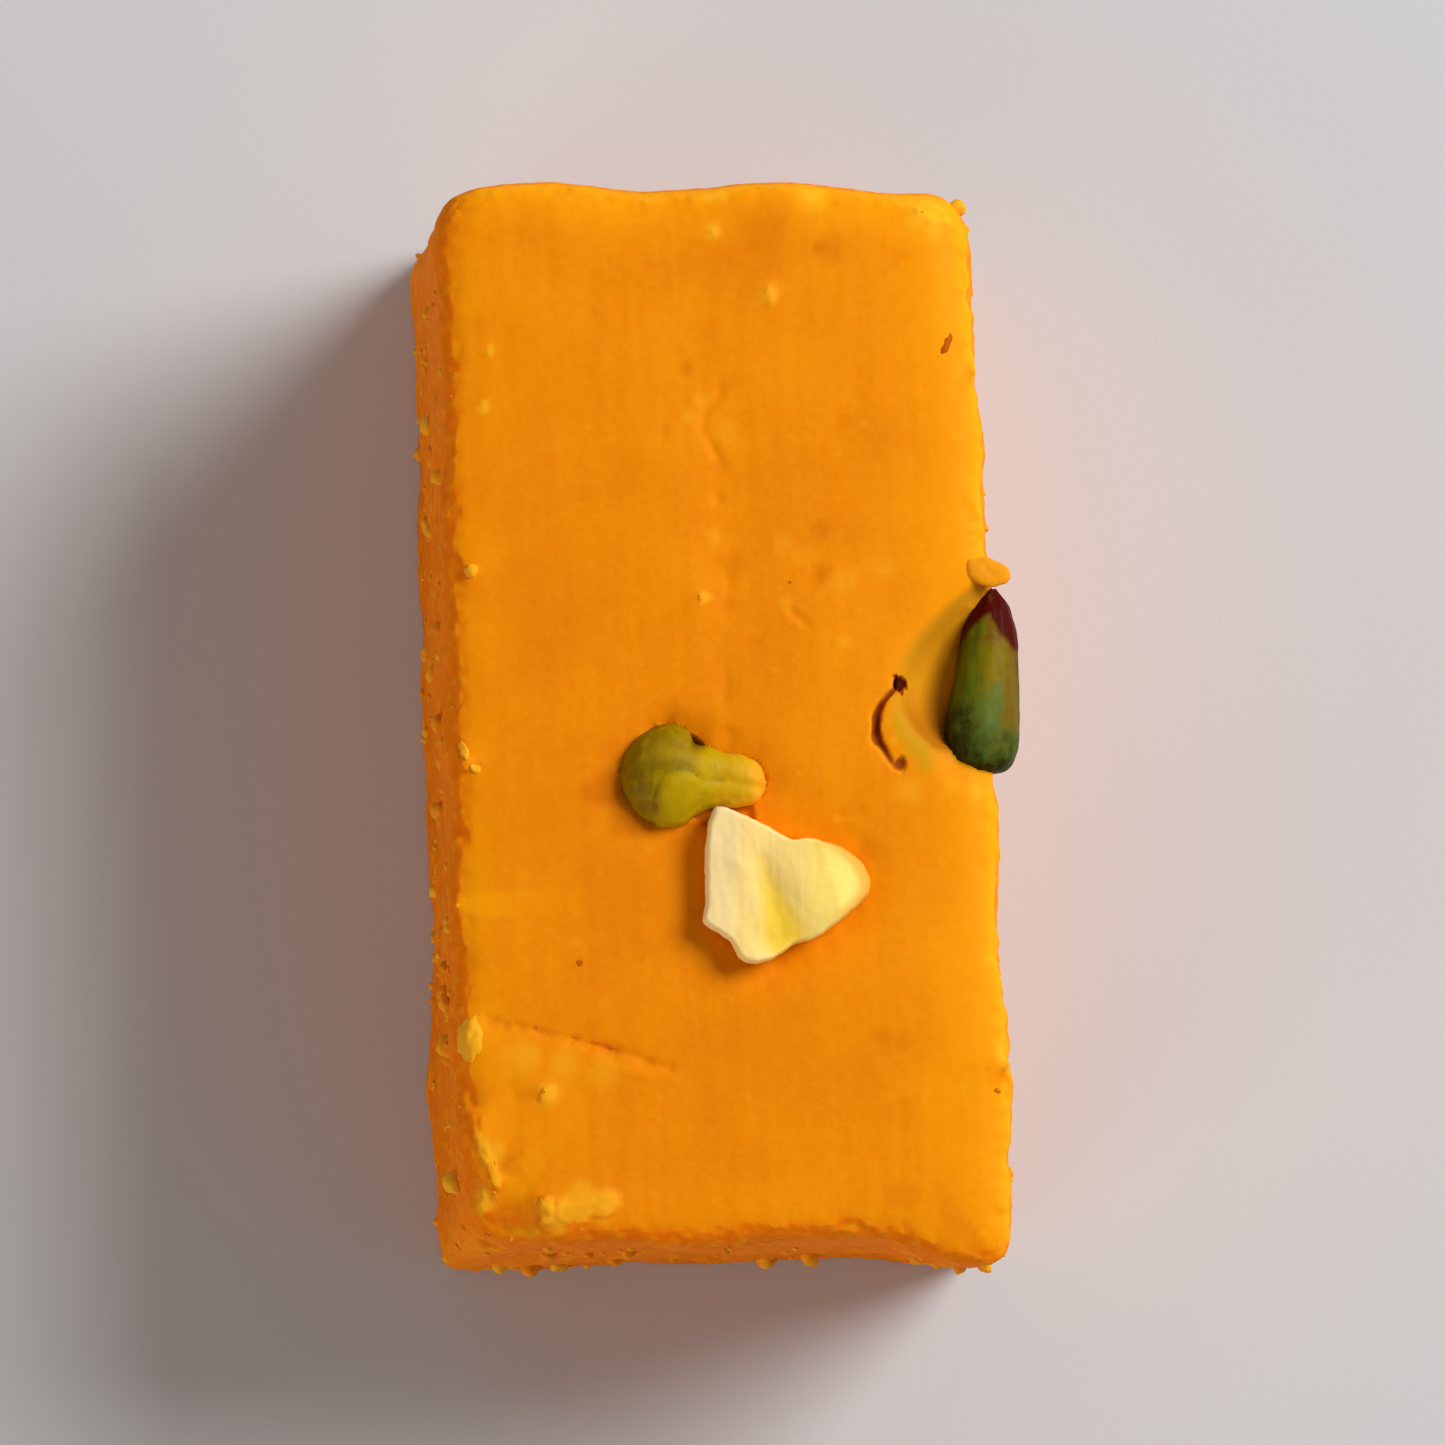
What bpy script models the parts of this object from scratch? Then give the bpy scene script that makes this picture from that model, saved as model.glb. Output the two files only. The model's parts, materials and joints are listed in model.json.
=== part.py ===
"""Barfi: one cut piece of orange milk fudge, with three bits of chopped nut pressed into it.

Metres, +Z up. The origin is the middle of the piece's foot. +Y runs along the piece, from its
near end to its far end, and +X across it, to the right as seen from the near end.
"""

import math
import random

import bmesh
import bpy
from mathutils import Matrix, Vector, noise

# The fudge piece: its length, its width half way along, and the thickness of the slab
LENGTH = 0.0418
WIDTH = 0.0215
THICKNESS = 0.0200

# The near end is a little wider than the far end, and the foot of a cut face spreads past its rim
WIDTH_TAPER = 0.016
FOOT_FLARE = 0.0005
FLARE_POWER = 1.6

# The far end met the tray, so it is softer and its edge waves; the near end was cut askew
FAR_SKEW = 0.030
FAR_WAVE = 0.00022
FAR_WAVE_LENGTH = 0.0099
FAR_WAVE_CREST_X = -0.0067
NEAR_BULGE = 0.0013
NEAR_BULGE_FROM_X = 0.0058
NEAR_BULGE_TO_X = 0.0085
NEAR_BULGE_AT_FOOT = 0.4

# Rounding of the top rim and of the upright corners, which grows over this stretch of the length
RIM_RADIUS = 0.0009
FAR_RIM_RADIUS = 0.0013
CORNER_RADIUS = 0.0011
FAR_CORNER_RADIUS = 0.0017
FAR_ROUNDING = (0.30 * LENGTH, 0.45 * LENGTH)

# Points nearer than this are in one place
TOUCHING = 0.000001

# The spacing of the grid that the faces are shaped from, with one more line within each rim
TOP_GRID = 0.00100
SIDE_GRID = 0.00125
RIM_LINE_SHARE = 0.4

# Torn relief of the knife-cut faces, and the much smoother far face
CRAG_DEPTH = 0.00030
FAR_CRAG_DEPTH = 0.00012
CRAG_BROAD_SIZE = Vector((0.0052, 0.0052, 0.0068))
CRAG_BROAD_SHARE = 0.9
CRAG_FINE_SIZE = Vector((0.0021, 0.0021, 0.0028))
CRAG_FINE_SHARE = 0.8
RIM_BITE_DEPTH = 0.00035
RIM_BITE_SIZE = 0.0019

# The pressed top: its dome, its undulation and the fold where the paste lapped over itself
DOME_DROP = 0.00018
SWELL_HEIGHT = 0.00013
SWELL_SIZE = 0.0075
FOLD_HEIGHT = 0.00010
FOLD_TROUGH_SHARE = 0.7
FOLD_WIDTH = 0.0011
FOLD_NEAR_Y = -0.0005
FOLD_FAR_Y = 0.0145
FOLD_FADE = 0.0035
FOLD_X = -0.0002
FOLD_LEAN = -0.085

# The near left corner is broken down
BREAK_X = -0.0109
BREAK_Y = -0.0209
BREAK_RADIUS = 0.0040
BREAK_DEPTH = 0.0011
BREAK_HEIGHT_SHARE = 0.5
BREAK_INWARD = (0.6, 0.4)

# The spoon's score in the top
SCORE_START = (-0.0101, -0.0115)
SCORE_END = (-0.0022, -0.0140)
SCORE_WIDTH = 0.00060
SCORE_DEPTH = 0.00028

# The hollow at the right rim that holds the pistachio sliver, and the crack beside it
PIT_NEAR_Y = -0.0034
PIT_LENGTH = 0.0092
PIT_X = 0.0117
PIT_WIDTH = 0.0093
PIT_DEPTH = 0.0027
PIT_BELLY = 0.43
CRACK_X = 0.00790
CRACK_Y = -0.00090
CRACK_RADIUS = 0.00180
CRACK_WIDTH = 0.00040
CRACK_DEPTH = 0.0010
CRACK_HALF_ANGLE = math.radians(66)
CRACK_END_WIDTH_SHARE = 0.3
CRACK_END_DEPTH_SHARE = 0.35
CRACK_STEPS = 8

# Nuts lie in pockets that clear them by this much, so that the solids don't touch
POCKET_CLEARANCE = 0.00032

# Pistachio sliver, a pointed length of kernel laid in the hollow and standing out at the side
SLIVER_NEAR = (0.01018, -0.00278)
SLIVER_TURN = math.radians(-6.5)
SLIVER_PROFILE = (
    (0.0000, 0.00000),
    (0.0001, 0.00074),
    (0.0004, 0.00122),
    (0.0010, 0.00144),
    (0.0020, 0.00147),
    (0.0032, 0.00135),
    (0.0044, 0.00119),
    (0.0055, 0.00104),
    (0.0063, 0.00080),
    (0.0069, 0.00047),
    (0.0073, 0.00000),
)
SLIVER_HEIGHT_SHARE = 1.0
SLIVER_PROUD = 0.00015

# Pistachio chip: a round end of kernel with a narrower tongue, lying across the piece
CHIP_NEAR = (-0.00403, -0.00224)
CHIP_TURN = math.radians(-97)
CHIP_PROFILE = (
    (0.0000, 0.00000),
    (0.0002, 0.00086),
    (0.0008, 0.00160),
    (0.0017, 0.00203),
    (0.0026, 0.00184),
    (0.0032, 0.00132),
    (0.0039, 0.00108),
    (0.0048, 0.00102),
    (0.0055, 0.00068),
    (0.0058, 0.00000),
)
CHIP_HEIGHT_SHARE = 0.80
CHIP_PROUD = 0.0014

# Almond chip: its outline from above, clockwise, and its rings' shares of it from its edge inwards
ALMOND_OUTLINE = (
    (-0.00036, -0.00368),
    (0.00115, -0.00438),
    (0.00249, -0.00523),
    (0.00306, -0.00517),
    (0.00370, -0.00528),
    (0.00450, -0.00555),
    (0.00513, -0.00597),
    (0.00559, -0.00655),
    (0.00565, -0.00728),
    (0.00522, -0.00783),
    (0.00456, -0.00837),
    (0.00373, -0.00891),
    (0.00316, -0.00921),
    (0.00259, -0.00927),
    (0.00209, -0.00966),
    (0.00143, -0.00999),
    (0.00079, -0.01009),
    (0.00031, -0.00983),
    (0.00009, -0.00926),
    (-0.00030, -0.00892),
    (-0.00093, -0.00850),
    (-0.00109, -0.00833),
    (-0.00091, -0.00777),
    (-0.00090, -0.00664),
    (-0.00085, -0.00535),
    (-0.00071, -0.00439),
)
ALMOND_FOOT_SHARE = 0.92
ALMOND_TOP_SHARES = (0.97, 0.88, 0.66, 0.43, 0.22)
ALMOND_EDGE_DROP = 0.00016
ALMOND_WIDEST_HEIGHT = 0.4
ALMOND_PROUD = 0.0013
ALMOND_SUNK = 0.0006

# The valley between its lobes, and where its top starts to fall to the left and to the right
ALMOND_VALLEY = ((0.0013, -0.0062), (0.0021, -0.0090))
ALMOND_VALLEY_WIDTH = 0.0009
ALMOND_VALLEY_DEPTH = 0.00055
ALMOND_VALLEY_START_SHARE = 0.5
ALMOND_LEFT_FALL = 0.0003, 0.25
ALMOND_RIGHT_FALL = 0.0040, 0.32

# The sides that the pistachios and the pit are turned with, and the steps along the pit's profile
NUT_SIDES = 16
DROP_STEPS = 12

# Flakes of fudge lying on the top and rim: x, y, length, width, height and turn in degrees
FLAKES = (
    (-0.0100, -0.0124, 0.0019, 0.0011, 0.0007, 82),
    (-0.0098, -0.0160, 0.0017, 0.0007, 0.0006, 100),
    (-0.0094, -0.0178, 0.0022, 0.0008, 0.0006, 70),
    (-0.0099, -0.0192, 0.0014, 0.0010, 0.0007, 35),
    (-0.0071, -0.0193, 0.0019, 0.0015, 0.0007, 12),
    (-0.0055, -0.0191, 0.0018, 0.0012, 0.0006, -8),
    (0.0107, 0.0051, 0.0020, 0.0013, 0.0009, -38),
    (0.0087, 0.0197, 0.0013, 0.0008, 0.0005, -38),
)

# Single crumbs on the top: x, y and size
CRUMBS = (
    (0.0024, 0.0164, 0.0008),
    (-0.0089, 0.0122, 0.0006),
    (-0.0097, 0.0058, 0.0009),
    (-0.0006, 0.0045, 0.0007),
    (0.0003, 0.0190, 0.0006),
    (-0.0100, -0.0017, 0.0010),
    (-0.0074, -0.0148, 0.0008),
    (0.0107, -0.0139, 0.0010),
)

# Crumbs that the knife left in little groups, on the cut rim and down the cut faces, by a seeded draw
RANDOM_SEED = 13
RIM_GROUPS = 11
SIDE_GROUPS = 9
CRUMBS_IN_GROUP = (1, 3)
GROUP_SPREAD = 0.0013
GROUP_HEIGHT = (0.15 * THICKNESS, 0.90 * THICKNESS)
RIM_CRUMB_SIZE = (0.0005, 0.0009)
SIDE_CRUMB_SIZE = (0.0006, 0.0012)
CRUMB_FLATNESS = (0.5, 0.9)
CRUMB_JITTER = 0.20
CLEAR_OF_SLIVER = 0.0060

# Colours as red, green and blue of 0 to 255, and roughness
FUDGE_FINISH = (241, 138, 3), 0.55
PISTACHIO_FINISH = (137, 115, 20), 0.5
SLIVER_FINISH = (92, 92, 22), 0.5
ALMOND_FINISH = (244, 216, 140), 0.5


def clear_scene():
    for thing in list(bpy.data.objects):
        bpy.data.objects.remove(thing)


def linear(channel):
    """A display colour's channel of 0 to 255 as linear light of 0 to 1."""
    share = channel / 255
    return ((share + 0.055) / 1.055) ** 2.4 if share > 0.04045 else share / 12.92


def make_material(name, colour, roughness):
    material = bpy.data.materials.new(name)
    material.use_nodes = True
    shader = material.node_tree.nodes["Principled BSDF"]
    shader.inputs["Base Color"].default_value = (*map(linear, colour), 1.0)
    shader.inputs["Roughness"].default_value = roughness
    shader.inputs["Metallic"].default_value = 0.0
    return material


def add_object(name, bm, material=None, collection=None):
    """The bmesh as a new object with its faces pointing out."""
    bmesh.ops.recalc_face_normals(bm, faces=bm.faces)
    mesh = bpy.data.meshes.new(name)
    bm.to_mesh(mesh)
    bm.free()
    mesh.shade_smooth()
    if material:
        mesh.materials.append(material)
    thing = bpy.data.objects.new(name, mesh)
    (collection or bpy.context.scene.collection).objects.link(thing)
    return thing


def clamp(value, low, high):
    return max(low, min(high, value))


def smooth_step(low, high, value):
    """0 at low, 1 at high and an S-curve between them; low may be the larger."""
    share = clamp((value - low) / (high - low), 0.0, 1.0)
    return share * share * (3 - 2 * share)


def divide(vector, sizes):
    return Vector(v / s for v, s in zip(vector, sizes))


# The surface of the fudge


def rounded(point):
    """A point of the straight box, moved onto its rounded corners and rim, and the normal there."""
    far = smooth_step(*FAR_ROUNDING, point.y)
    corner = CORNER_RADIUS + far * (FAR_CORNER_RADIUS - CORNER_RADIUS)
    rim = RIM_RADIUS + far * (FAR_RIM_RADIUS - RIM_RADIUS)
    inner = Vector((
        clamp(point.x, corner - WIDTH / 2, WIDTH / 2 - corner),
        clamp(point.y, corner - LENGTH / 2, LENGTH / 2 - corner),
    ))
    over = point.xy - inner
    if over.length:
        over *= max(abs(over.x), abs(over.y)) / over.length
    outward = over.normalized()
    side = over.length - corner + rim
    up = point.z - THICKNESS + rim
    if side > 0 and up > 0:
        share = max(side, up) / math.hypot(side, up)
        plan = inner + outward * (corner - rim + side * share)
        normal = Vector((*(outward * side), up)).normalized()
        return Vector((*plan, THICKNESS - rim + up * share)), normal
    normal = Vector((*outward, 0)) if point.z < THICKNESS - rim else Vector((0, 0, 1))
    return Vector((*(inner + over), point.z)), normal


def crag(point):
    """Torn relief of a cut face at a point: about -1 to 1."""
    broad = noise.noise(divide(point, CRAG_BROAD_SIZE))
    fine = noise.fractal(divide(point, CRAG_FINE_SIZE), 1.0, 2.0, 2)
    return CRAG_BROAD_SHARE * broad + CRAG_FINE_SHARE * fine


def fold(x, y):
    """Height of the lapped fold, which falls away to its right and fades at both ends."""
    middle = FOLD_X + FOLD_LEAN * max(0.0, y - FOLD_NEAR_Y) ** 2 / (FOLD_FAR_Y - FOLD_NEAR_Y)
    side = (x - middle) / FOLD_WIDTH
    ends = smooth_step(FOLD_NEAR_Y - FOLD_FADE, FOLD_NEAR_Y, y)
    ends *= smooth_step(FOLD_FAR_Y, FOLD_FAR_Y - FOLD_FADE, y)
    trough = FOLD_TROUGH_SHARE * math.exp(-(side - 1) ** 2)
    return FOLD_HEIGHT * ends * (math.exp(-(side + 1) ** 2) - trough)


def top_relief(point):
    """How far the pressed top stands above its flat level."""
    u, v = point.x / (WIDTH / 2), point.y / (LENGTH / 2)
    dome = -DOME_DROP * (u ** 4 + v ** 4)
    swell = SWELL_HEIGHT * noise.noise(point / SWELL_SIZE)
    return dome + swell + fold(point.x, point.y)


def broken_corner(point):
    """How far the near left corner is broken in at a point."""
    down = BREAK_HEIGHT_SHARE * (THICKNESS - point.z)
    reach = math.hypot(point.x - BREAK_X, point.y - BREAK_Y, down)
    return BREAK_DEPTH * smooth_step(BREAK_RADIUS, 0.0, reach)


def skewed(point):
    """The straight piece's point, moved for the taper, the foot's flare and the skewed ends."""
    x, y, z = point
    foot = max(0.0, 1 - z / THICKNESS) ** FLARE_POWER
    v = y / (LENGTH / 2)
    far = smooth_step(0.0, 1.0, v)
    near = smooth_step(0.0, -1.0, v)
    wave = math.cos(2 * math.pi * (x - FAR_WAVE_CREST_X) / FAR_WAVE_LENGTH)
    bulge = NEAR_BULGE * smooth_step(NEAR_BULGE_FROM_X, NEAR_BULGE_TO_X, x)
    bulge *= NEAR_BULGE_AT_FOOT + (1 - NEAR_BULGE_AT_FOOT) * z / THICKNESS
    x *= 1 - WIDTH_TAPER * v + FOOT_FLARE / (WIDTH / 2) * foot
    y += far * (FAR_WAVE * wave - FAR_SKEW * x) - near ** 4 * bulge - near * FOOT_FLARE * foot
    return Vector((x, y, z))


def fudge_surface(point):
    """A point of the straight box, moved to where the fudge's surface is."""
    place, normal = rounded(point)
    torn = 1 + (FAR_CRAG_DEPTH / CRAG_DEPTH - 1) * smooth_step(0.5, 0.9, normal.y)
    upward = smooth_step(0.0, 1.0, normal.z)
    sideways = smooth_step(1.0, 0.5, normal.z)
    at_rim = smooth_step(0.05, 0.5, normal.z) * smooth_step(1.0, 0.7, normal.z)
    bite = RIM_BITE_DEPTH * at_rim * abs(noise.noise(place / RIM_BITE_SIZE))
    height = top_relief(place)
    place += normal * torn * (sideways * CRAG_DEPTH * crag(place) - bite)
    place.z += height * upward
    broken = broken_corner(place)
    place += broken * Vector((*BREAK_INWARD, -smooth_step(0.0, 0.5, normal.z)))
    return skewed(place)


# The fudge's solid


def stations(low, high, spacing, rim_low, rim_high):
    """Where grid lines cross a side: evenly spaced, and closer within each rounded rim."""
    first, last = low + rim_low, high - rim_high
    count = round((last - first) / spacing)
    lines = [first + (last - first) * i / count for i in range(count + 1)]
    lines += [low + rim_low * RIM_LINE_SHARE, high - rim_high * RIM_LINE_SHARE]
    return [line for line in lines if low < line < high]


def divided_box():
    """A straight box of the piece's size, divided into a grid, with its foot left as one face."""
    bm = bmesh.new()
    bmesh.ops.create_cube(bm, size=1.0)
    bmesh.ops.scale(bm, vec=(WIDTH, LENGTH, THICKNESS), verts=bm.verts)
    bmesh.ops.translate(bm, vec=(0, 0, THICKNESS / 2), verts=bm.verts)
    grid = (
        stations(-WIDTH / 2, WIDTH / 2, TOP_GRID, RIM_RADIUS, RIM_RADIUS),
        stations(-LENGTH / 2, LENGTH / 2, TOP_GRID, RIM_RADIUS, FAR_RIM_RADIUS),
        stations(0, THICKNESS, SIDE_GRID, 0, RIM_RADIUS),
    )
    for across, lines in zip(Matrix.Identity(3), grid):
        for line in lines:
            whole = bm.verts[:] + bm.edges[:] + bm.faces[:]
            bmesh.ops.bisect_plane(bm, geom=whole, plane_co=across * line, plane_no=across)
    foot = [face for face in bm.faces if face.calc_center_median().z < TOUCHING]
    bmesh.ops.dissolve_faces(bm, faces=foot, use_verts=False)
    return bm


def make_fudge(material):
    bm = divided_box()
    for vert in bm.verts:
        vert.co = fudge_surface(vert.co.copy())
    return add_object("barfi_block", bm, material)


def add_grain(name, collection, place, size, turn, draw):
    """One low-sided crumb or flake of the given (length, width, height) on the fudge's surface."""
    bm = bmesh.new()
    bmesh.ops.create_icosphere(bm, subdivisions=1, radius=0.5)
    for vert in bm.verts:
        vert.co *= 1 + draw.uniform(-CRUMB_JITTER, CRUMB_JITTER)
    bm.transform(Matrix.Translation(place) @ Matrix.Rotation(turn, 4, "Z") @ Matrix.Diagonal((*size, 1)))
    add_object(name, bm, collection=collection)


def add_top_grains(collection, draw):
    """The flakes and single crumbs whose places on the top are known."""
    for x, y, length, width, height, turn in FLAKES:
        place = fudge_surface(Vector((x, y, THICKNESS)))
        add_grain("flake", collection, place, (length, width, height), math.radians(turn), draw)
    for x, y, size in CRUMBS:
        place = fudge_surface(Vector((x, y, THICKNESS)))
        add_grain("crumb", collection, place, (size, size, size), draw.uniform(0, math.pi), draw)


def add_crumb_group(collection, height, sizes, draw):
    """A few crumbs near one random point of the cut faces, at about one height."""
    middle = Vector((*random_cut_edge(draw), height))
    for _ in range(draw.randint(*CRUMBS_IN_GROUP)):
        spread = Vector(draw.uniform(-GROUP_SPREAD, GROUP_SPREAD) for _ in range(3))
        place = fudge_surface(onto_cut_face(middle + spread))
        across = draw.uniform(*sizes)
        size = (across, across, across * draw.uniform(*CRUMB_FLATNESS))
        turn = draw.uniform(0, math.pi)
        if (place - sliver_middle()).length > CLEAR_OF_SLIVER:
            add_grain("crumb", collection, place, size, turn, draw)


def fuse_crumbs(fudge):
    """Crumbs and flakes as one Boolean union, applied, so that the fudge stays a single solid."""
    draw = random.Random(RANDOM_SEED)
    loose = bpy.data.collections.new("crumbs")
    bpy.context.scene.collection.children.link(loose)
    add_top_grains(loose, draw)
    for _ in range(RIM_GROUPS):
        add_crumb_group(loose, THICKNESS, RIM_CRUMB_SIZE, draw)
    for _ in range(SIDE_GROUPS):
        add_crumb_group(loose, draw.uniform(*GROUP_HEIGHT), SIDE_CRUMB_SIZE, draw)
    add_boolean(fudge, "UNION", loose)
    graph = bpy.context.evaluated_depsgraph_get()
    fused = bpy.data.meshes.new_from_object(fudge.evaluated_get(graph))
    fudge.modifiers.clear()
    fudge.data = fused
    for crumb in list(loose.objects):
        bpy.data.objects.remove(crumb)
    bpy.data.collections.remove(loose)


def add_boolean(thing, operation, collection):
    boolean = thing.modifiers.new(collection.name, "BOOLEAN")
    boolean.operation = operation
    boolean.solver = "EXACT"
    boolean.operand_type = "COLLECTION"
    boolean.collection = collection


def onto_cut_face(point):
    """The point of the straight piece's left, right or near face, or its rim, nearest to a point."""
    x = clamp(point.x, -WIDTH / 2, WIDTH / 2)
    y = clamp(point.y, -LENGTH / 2, LENGTH / 2 - 2 * FAR_CORNER_RADIUS)
    z = min(THICKNESS, point.z)
    if y + LENGTH / 2 < WIDTH / 2 - abs(x):
        return Vector((x, -LENGTH / 2, z))
    return Vector((math.copysign(WIDTH / 2, x), y, z))


def random_cut_edge(draw):
    """A random x, y on the left, right or near edge of the straight piece, in that share."""
    where = draw.uniform(0, 2 * LENGTH + WIDTH)
    if where < LENGTH:
        return -WIDTH / 2, where - LENGTH / 2
    if where < 2 * LENGTH:
        return WIDTH / 2, where - 1.5 * LENGTH
    return where - 2 * LENGTH - WIDTH / 2, -LENGTH / 2


# Nuts


def turned(profile, height_share, grow=0.0):
    """A closed shape along +Y, turned from (distance, radius) pairs and grown by a clearance."""
    bm = bmesh.new()
    near_tip = bm.verts.new((0, profile[0][0] - grow, 0))
    far_tip = bm.verts.new((0, profile[-1][0] + grow, 0))
    turns = [2 * math.pi * side / NUT_SIDES for side in range(NUT_SIDES)]
    rings = []
    for along, radius in profile[1:-1]:
        wide, high = radius + grow, radius * height_share + grow
        rings.append([bm.verts.new((wide * math.cos(t), along, high * math.sin(t))) for t in turns])
    for near, far in zip(rings, rings[1:]):
        bridge(bm, near, far)
    close_with_fan(bm, rings[0], near_tip)
    close_with_fan(bm, rings[-1], far_tip)
    return bm


def bridge(bm, ring, other):
    for i, j in zip(range(-1, len(ring)), range(len(ring))):
        bm.faces.new((ring[i], ring[j], other[j], other[i]))


def close_with_fan(bm, ring, tip):
    for i, j in zip(range(-1, len(ring)), range(len(ring))):
        bm.faces.new((ring[i], ring[j], tip))


def drop_profile(length, width, belly):
    """The hollow's profile: blunt at its near end, widest at the belly's share, pointed at its far end."""
    power = math.log(0.5) / math.log(belly)
    shares = [0.5 - 0.5 * math.cos(math.pi * i / DROP_STEPS) for i in range(DROP_STEPS + 1)]
    return [(length * s, width / 2 * math.sin(math.pi * s ** power)) for s in shares]


def placed(near, height, turn):
    """The matrix that lays a nut shape down from its near end, turned about +Z."""
    return Matrix.Translation((*near, height)) @ Matrix.Rotation(turn, 4, "Z")


def half_height(profile, height_share):
    return max(radius for _, radius in profile) * height_share


def sliver_shape(grow=0.0):
    bm = turned(SLIVER_PROFILE, SLIVER_HEIGHT_SHARE, grow)
    half = half_height(SLIVER_PROFILE, SLIVER_HEIGHT_SHARE)
    bm.transform(placed(SLIVER_NEAR, THICKNESS + SLIVER_PROUD - half, SLIVER_TURN))
    return bm


def sliver_middle():
    down = half_height(SLIVER_PROFILE, SLIVER_HEIGHT_SHARE)
    half = Vector((0, SLIVER_PROFILE[-1][0] / 2, -down))
    return placed(SLIVER_NEAR, THICKNESS, SLIVER_TURN) @ half


def chip_shape(grow=0.0):
    """The pistachio chip, with its round end standing higher than its tongue."""
    bm = turned(CHIP_PROFILE, CHIP_HEIGHT_SHARE, grow)
    half = half_height(CHIP_PROFILE, CHIP_HEIGHT_SHARE)
    bm.transform(placed(CHIP_NEAR, THICKNESS + CHIP_PROUD - half, CHIP_TURN))
    return bm


def almond_dip(x, y):
    """How far the almond's top lies below its highest level, in its valley and at its sides."""
    start, end = (Vector(point) for point in ALMOND_VALLEY)
    along = end - start
    share = clamp((Vector((x, y)) - start).dot(along) / along.length_squared, 0.0, 1.0)
    away = (Vector((x, y)) - start - along * share).length
    depth = ALMOND_VALLEY_START_SHARE + (1 - ALMOND_VALLEY_START_SHARE) * share
    left, left_slope = ALMOND_LEFT_FALL
    right, right_slope = ALMOND_RIGHT_FALL
    fall = left_slope * max(0.0, left - x) + right_slope * max(0.0, x - right)
    return fall + ALMOND_VALLEY_DEPTH * depth * max(0.0, 1 - away / ALMOND_VALLEY_WIDTH)


def grown(points, amount):
    """The corners of a clockwise outline, moved out by an amount."""
    moved = []
    for before, point, after in zip(points[-1:] + points[:-1], points, points[1:] + points[:1]):
        along = ((point - before).normalized() + (after - point).normalized()).normalized()
        moved.append(point + amount * Vector((-along.y, along.x)))
    return moved


def almond_shape(grow=0.0):
    """The almond chip, as rings from its underside over its edge to the middle of its top."""
    outline = [Vector(point) for point in ALMOND_OUTLINE]
    middle = sum(outline, Vector((0, 0))) / len(outline)
    top, foot = THICKNESS + ALMOND_PROUD + grow, THICKNESS - ALMOND_SUNK - grow
    widest = foot + ALMOND_WIDEST_HEIGHT * (top - foot)
    bm = bmesh.new()

    def add_ring(share, height, dip):
        points = grown([middle + (point - middle) * share for point in outline], grow)
        return [bm.verts.new((*point, height - dip * almond_dip(*point))) for point in points]

    rings = [add_ring(ALMOND_FOOT_SHARE, foot, 0), add_ring(1.0, widest, 0)]
    rings.append(add_ring(ALMOND_TOP_SHARES[0], top - ALMOND_EDGE_DROP, 1))
    rings += [add_ring(share, top, 1) for share in ALMOND_TOP_SHARES[1:]]
    for lower, upper in zip(rings, rings[1:]):
        bridge(bm, lower, upper)
    bm.faces.new(rings[0])
    close_with_fan(bm, rings[-1], bm.verts.new((*middle, top - almond_dip(*middle))))
    return bm


# What is cut out of the fudge


def pit_shape():
    """The hollow at the right rim, shallow towards the left and pointed at its far end."""
    profile = drop_profile(PIT_LENGTH, PIT_WIDTH, PIT_BELLY)
    bm = turned(profile, 2 * PIT_DEPTH / PIT_WIDTH)
    bm.transform(placed((PIT_X, PIT_NEAR_Y), THICKNESS, 0.0))
    return bm


def crack_shape():
    """A thin curved slot left of the hollow, narrowing to nothing at its ends and its bottom."""
    bm = bmesh.new()
    rings = []
    for step in range(CRACK_STEPS + 1):
        share = step / CRACK_STEPS
        angle = math.pi + CRACK_HALF_ANGLE * (1 - 2 * share)
        open_share = math.sin(math.pi * share)
        half = CRACK_WIDTH / 2 * (CRACK_END_WIDTH_SHARE + (1 - CRACK_END_WIDTH_SHARE) * open_share)
        depth = CRACK_DEPTH * (CRACK_END_DEPTH_SHARE + (1 - CRACK_END_DEPTH_SHARE) * open_share)
        out = Vector((math.cos(angle), math.sin(angle), 0))
        middle = Vector((CRACK_X, CRACK_Y, THICKNESS)) + out * CRACK_RADIUS
        above, below = Vector((0, 0, CRACK_DEPTH)), Vector((0, 0, -depth))
        corners = (middle - out * half + above, middle + out * half + above, middle + below)
        rings.append([bm.verts.new(corner) for corner in corners])
    for near, far in zip(rings, rings[1:]):
        bridge(bm, near, far)
    bm.faces.new(rings[0])
    bm.faces.new(rings[-1])
    return bm


def score_shape():
    """The spoon's score: a long thin spindle that lies in the top, half sunk."""
    start, end = Vector((*SCORE_START, THICKNESS)), Vector((*SCORE_END, THICKNESS))
    along = end - start
    bm = bmesh.new()
    bmesh.ops.create_icosphere(bm, subdivisions=2, radius=0.5)
    bmesh.ops.scale(bm, vec=(along.length, SCORE_WIDTH, 2 * SCORE_DEPTH), verts=bm.verts)
    turn = math.atan2(along.y, along.x)
    bm.transform(Matrix.Translation((start + end) / 2) @ Matrix.Rotation(turn, 4, "Z"))
    return bm


def cut_fudge(fudge):
    """One Boolean with the pit, the crack, the score and a pocket for each nut."""
    cutters = bpy.data.collections.new("cutters")
    bpy.context.scene.collection.children.link(cutters)
    add_object("pit", pit_shape(), collection=cutters)
    add_object("crack", crack_shape(), collection=cutters)
    add_object("score", score_shape(), collection=cutters)
    add_object("sliver_pocket", sliver_shape(POCKET_CLEARANCE), collection=cutters)
    add_object("chip_pocket", chip_shape(POCKET_CLEARANCE), collection=cutters)
    add_object("almond_pocket", almond_shape(POCKET_CLEARANCE), collection=cutters)
    for cutter in cutters.objects:
        cutter.hide_render = True
        cutter.display_type = "WIRE"
    add_boolean(fudge, "DIFFERENCE", cutters)


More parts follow.
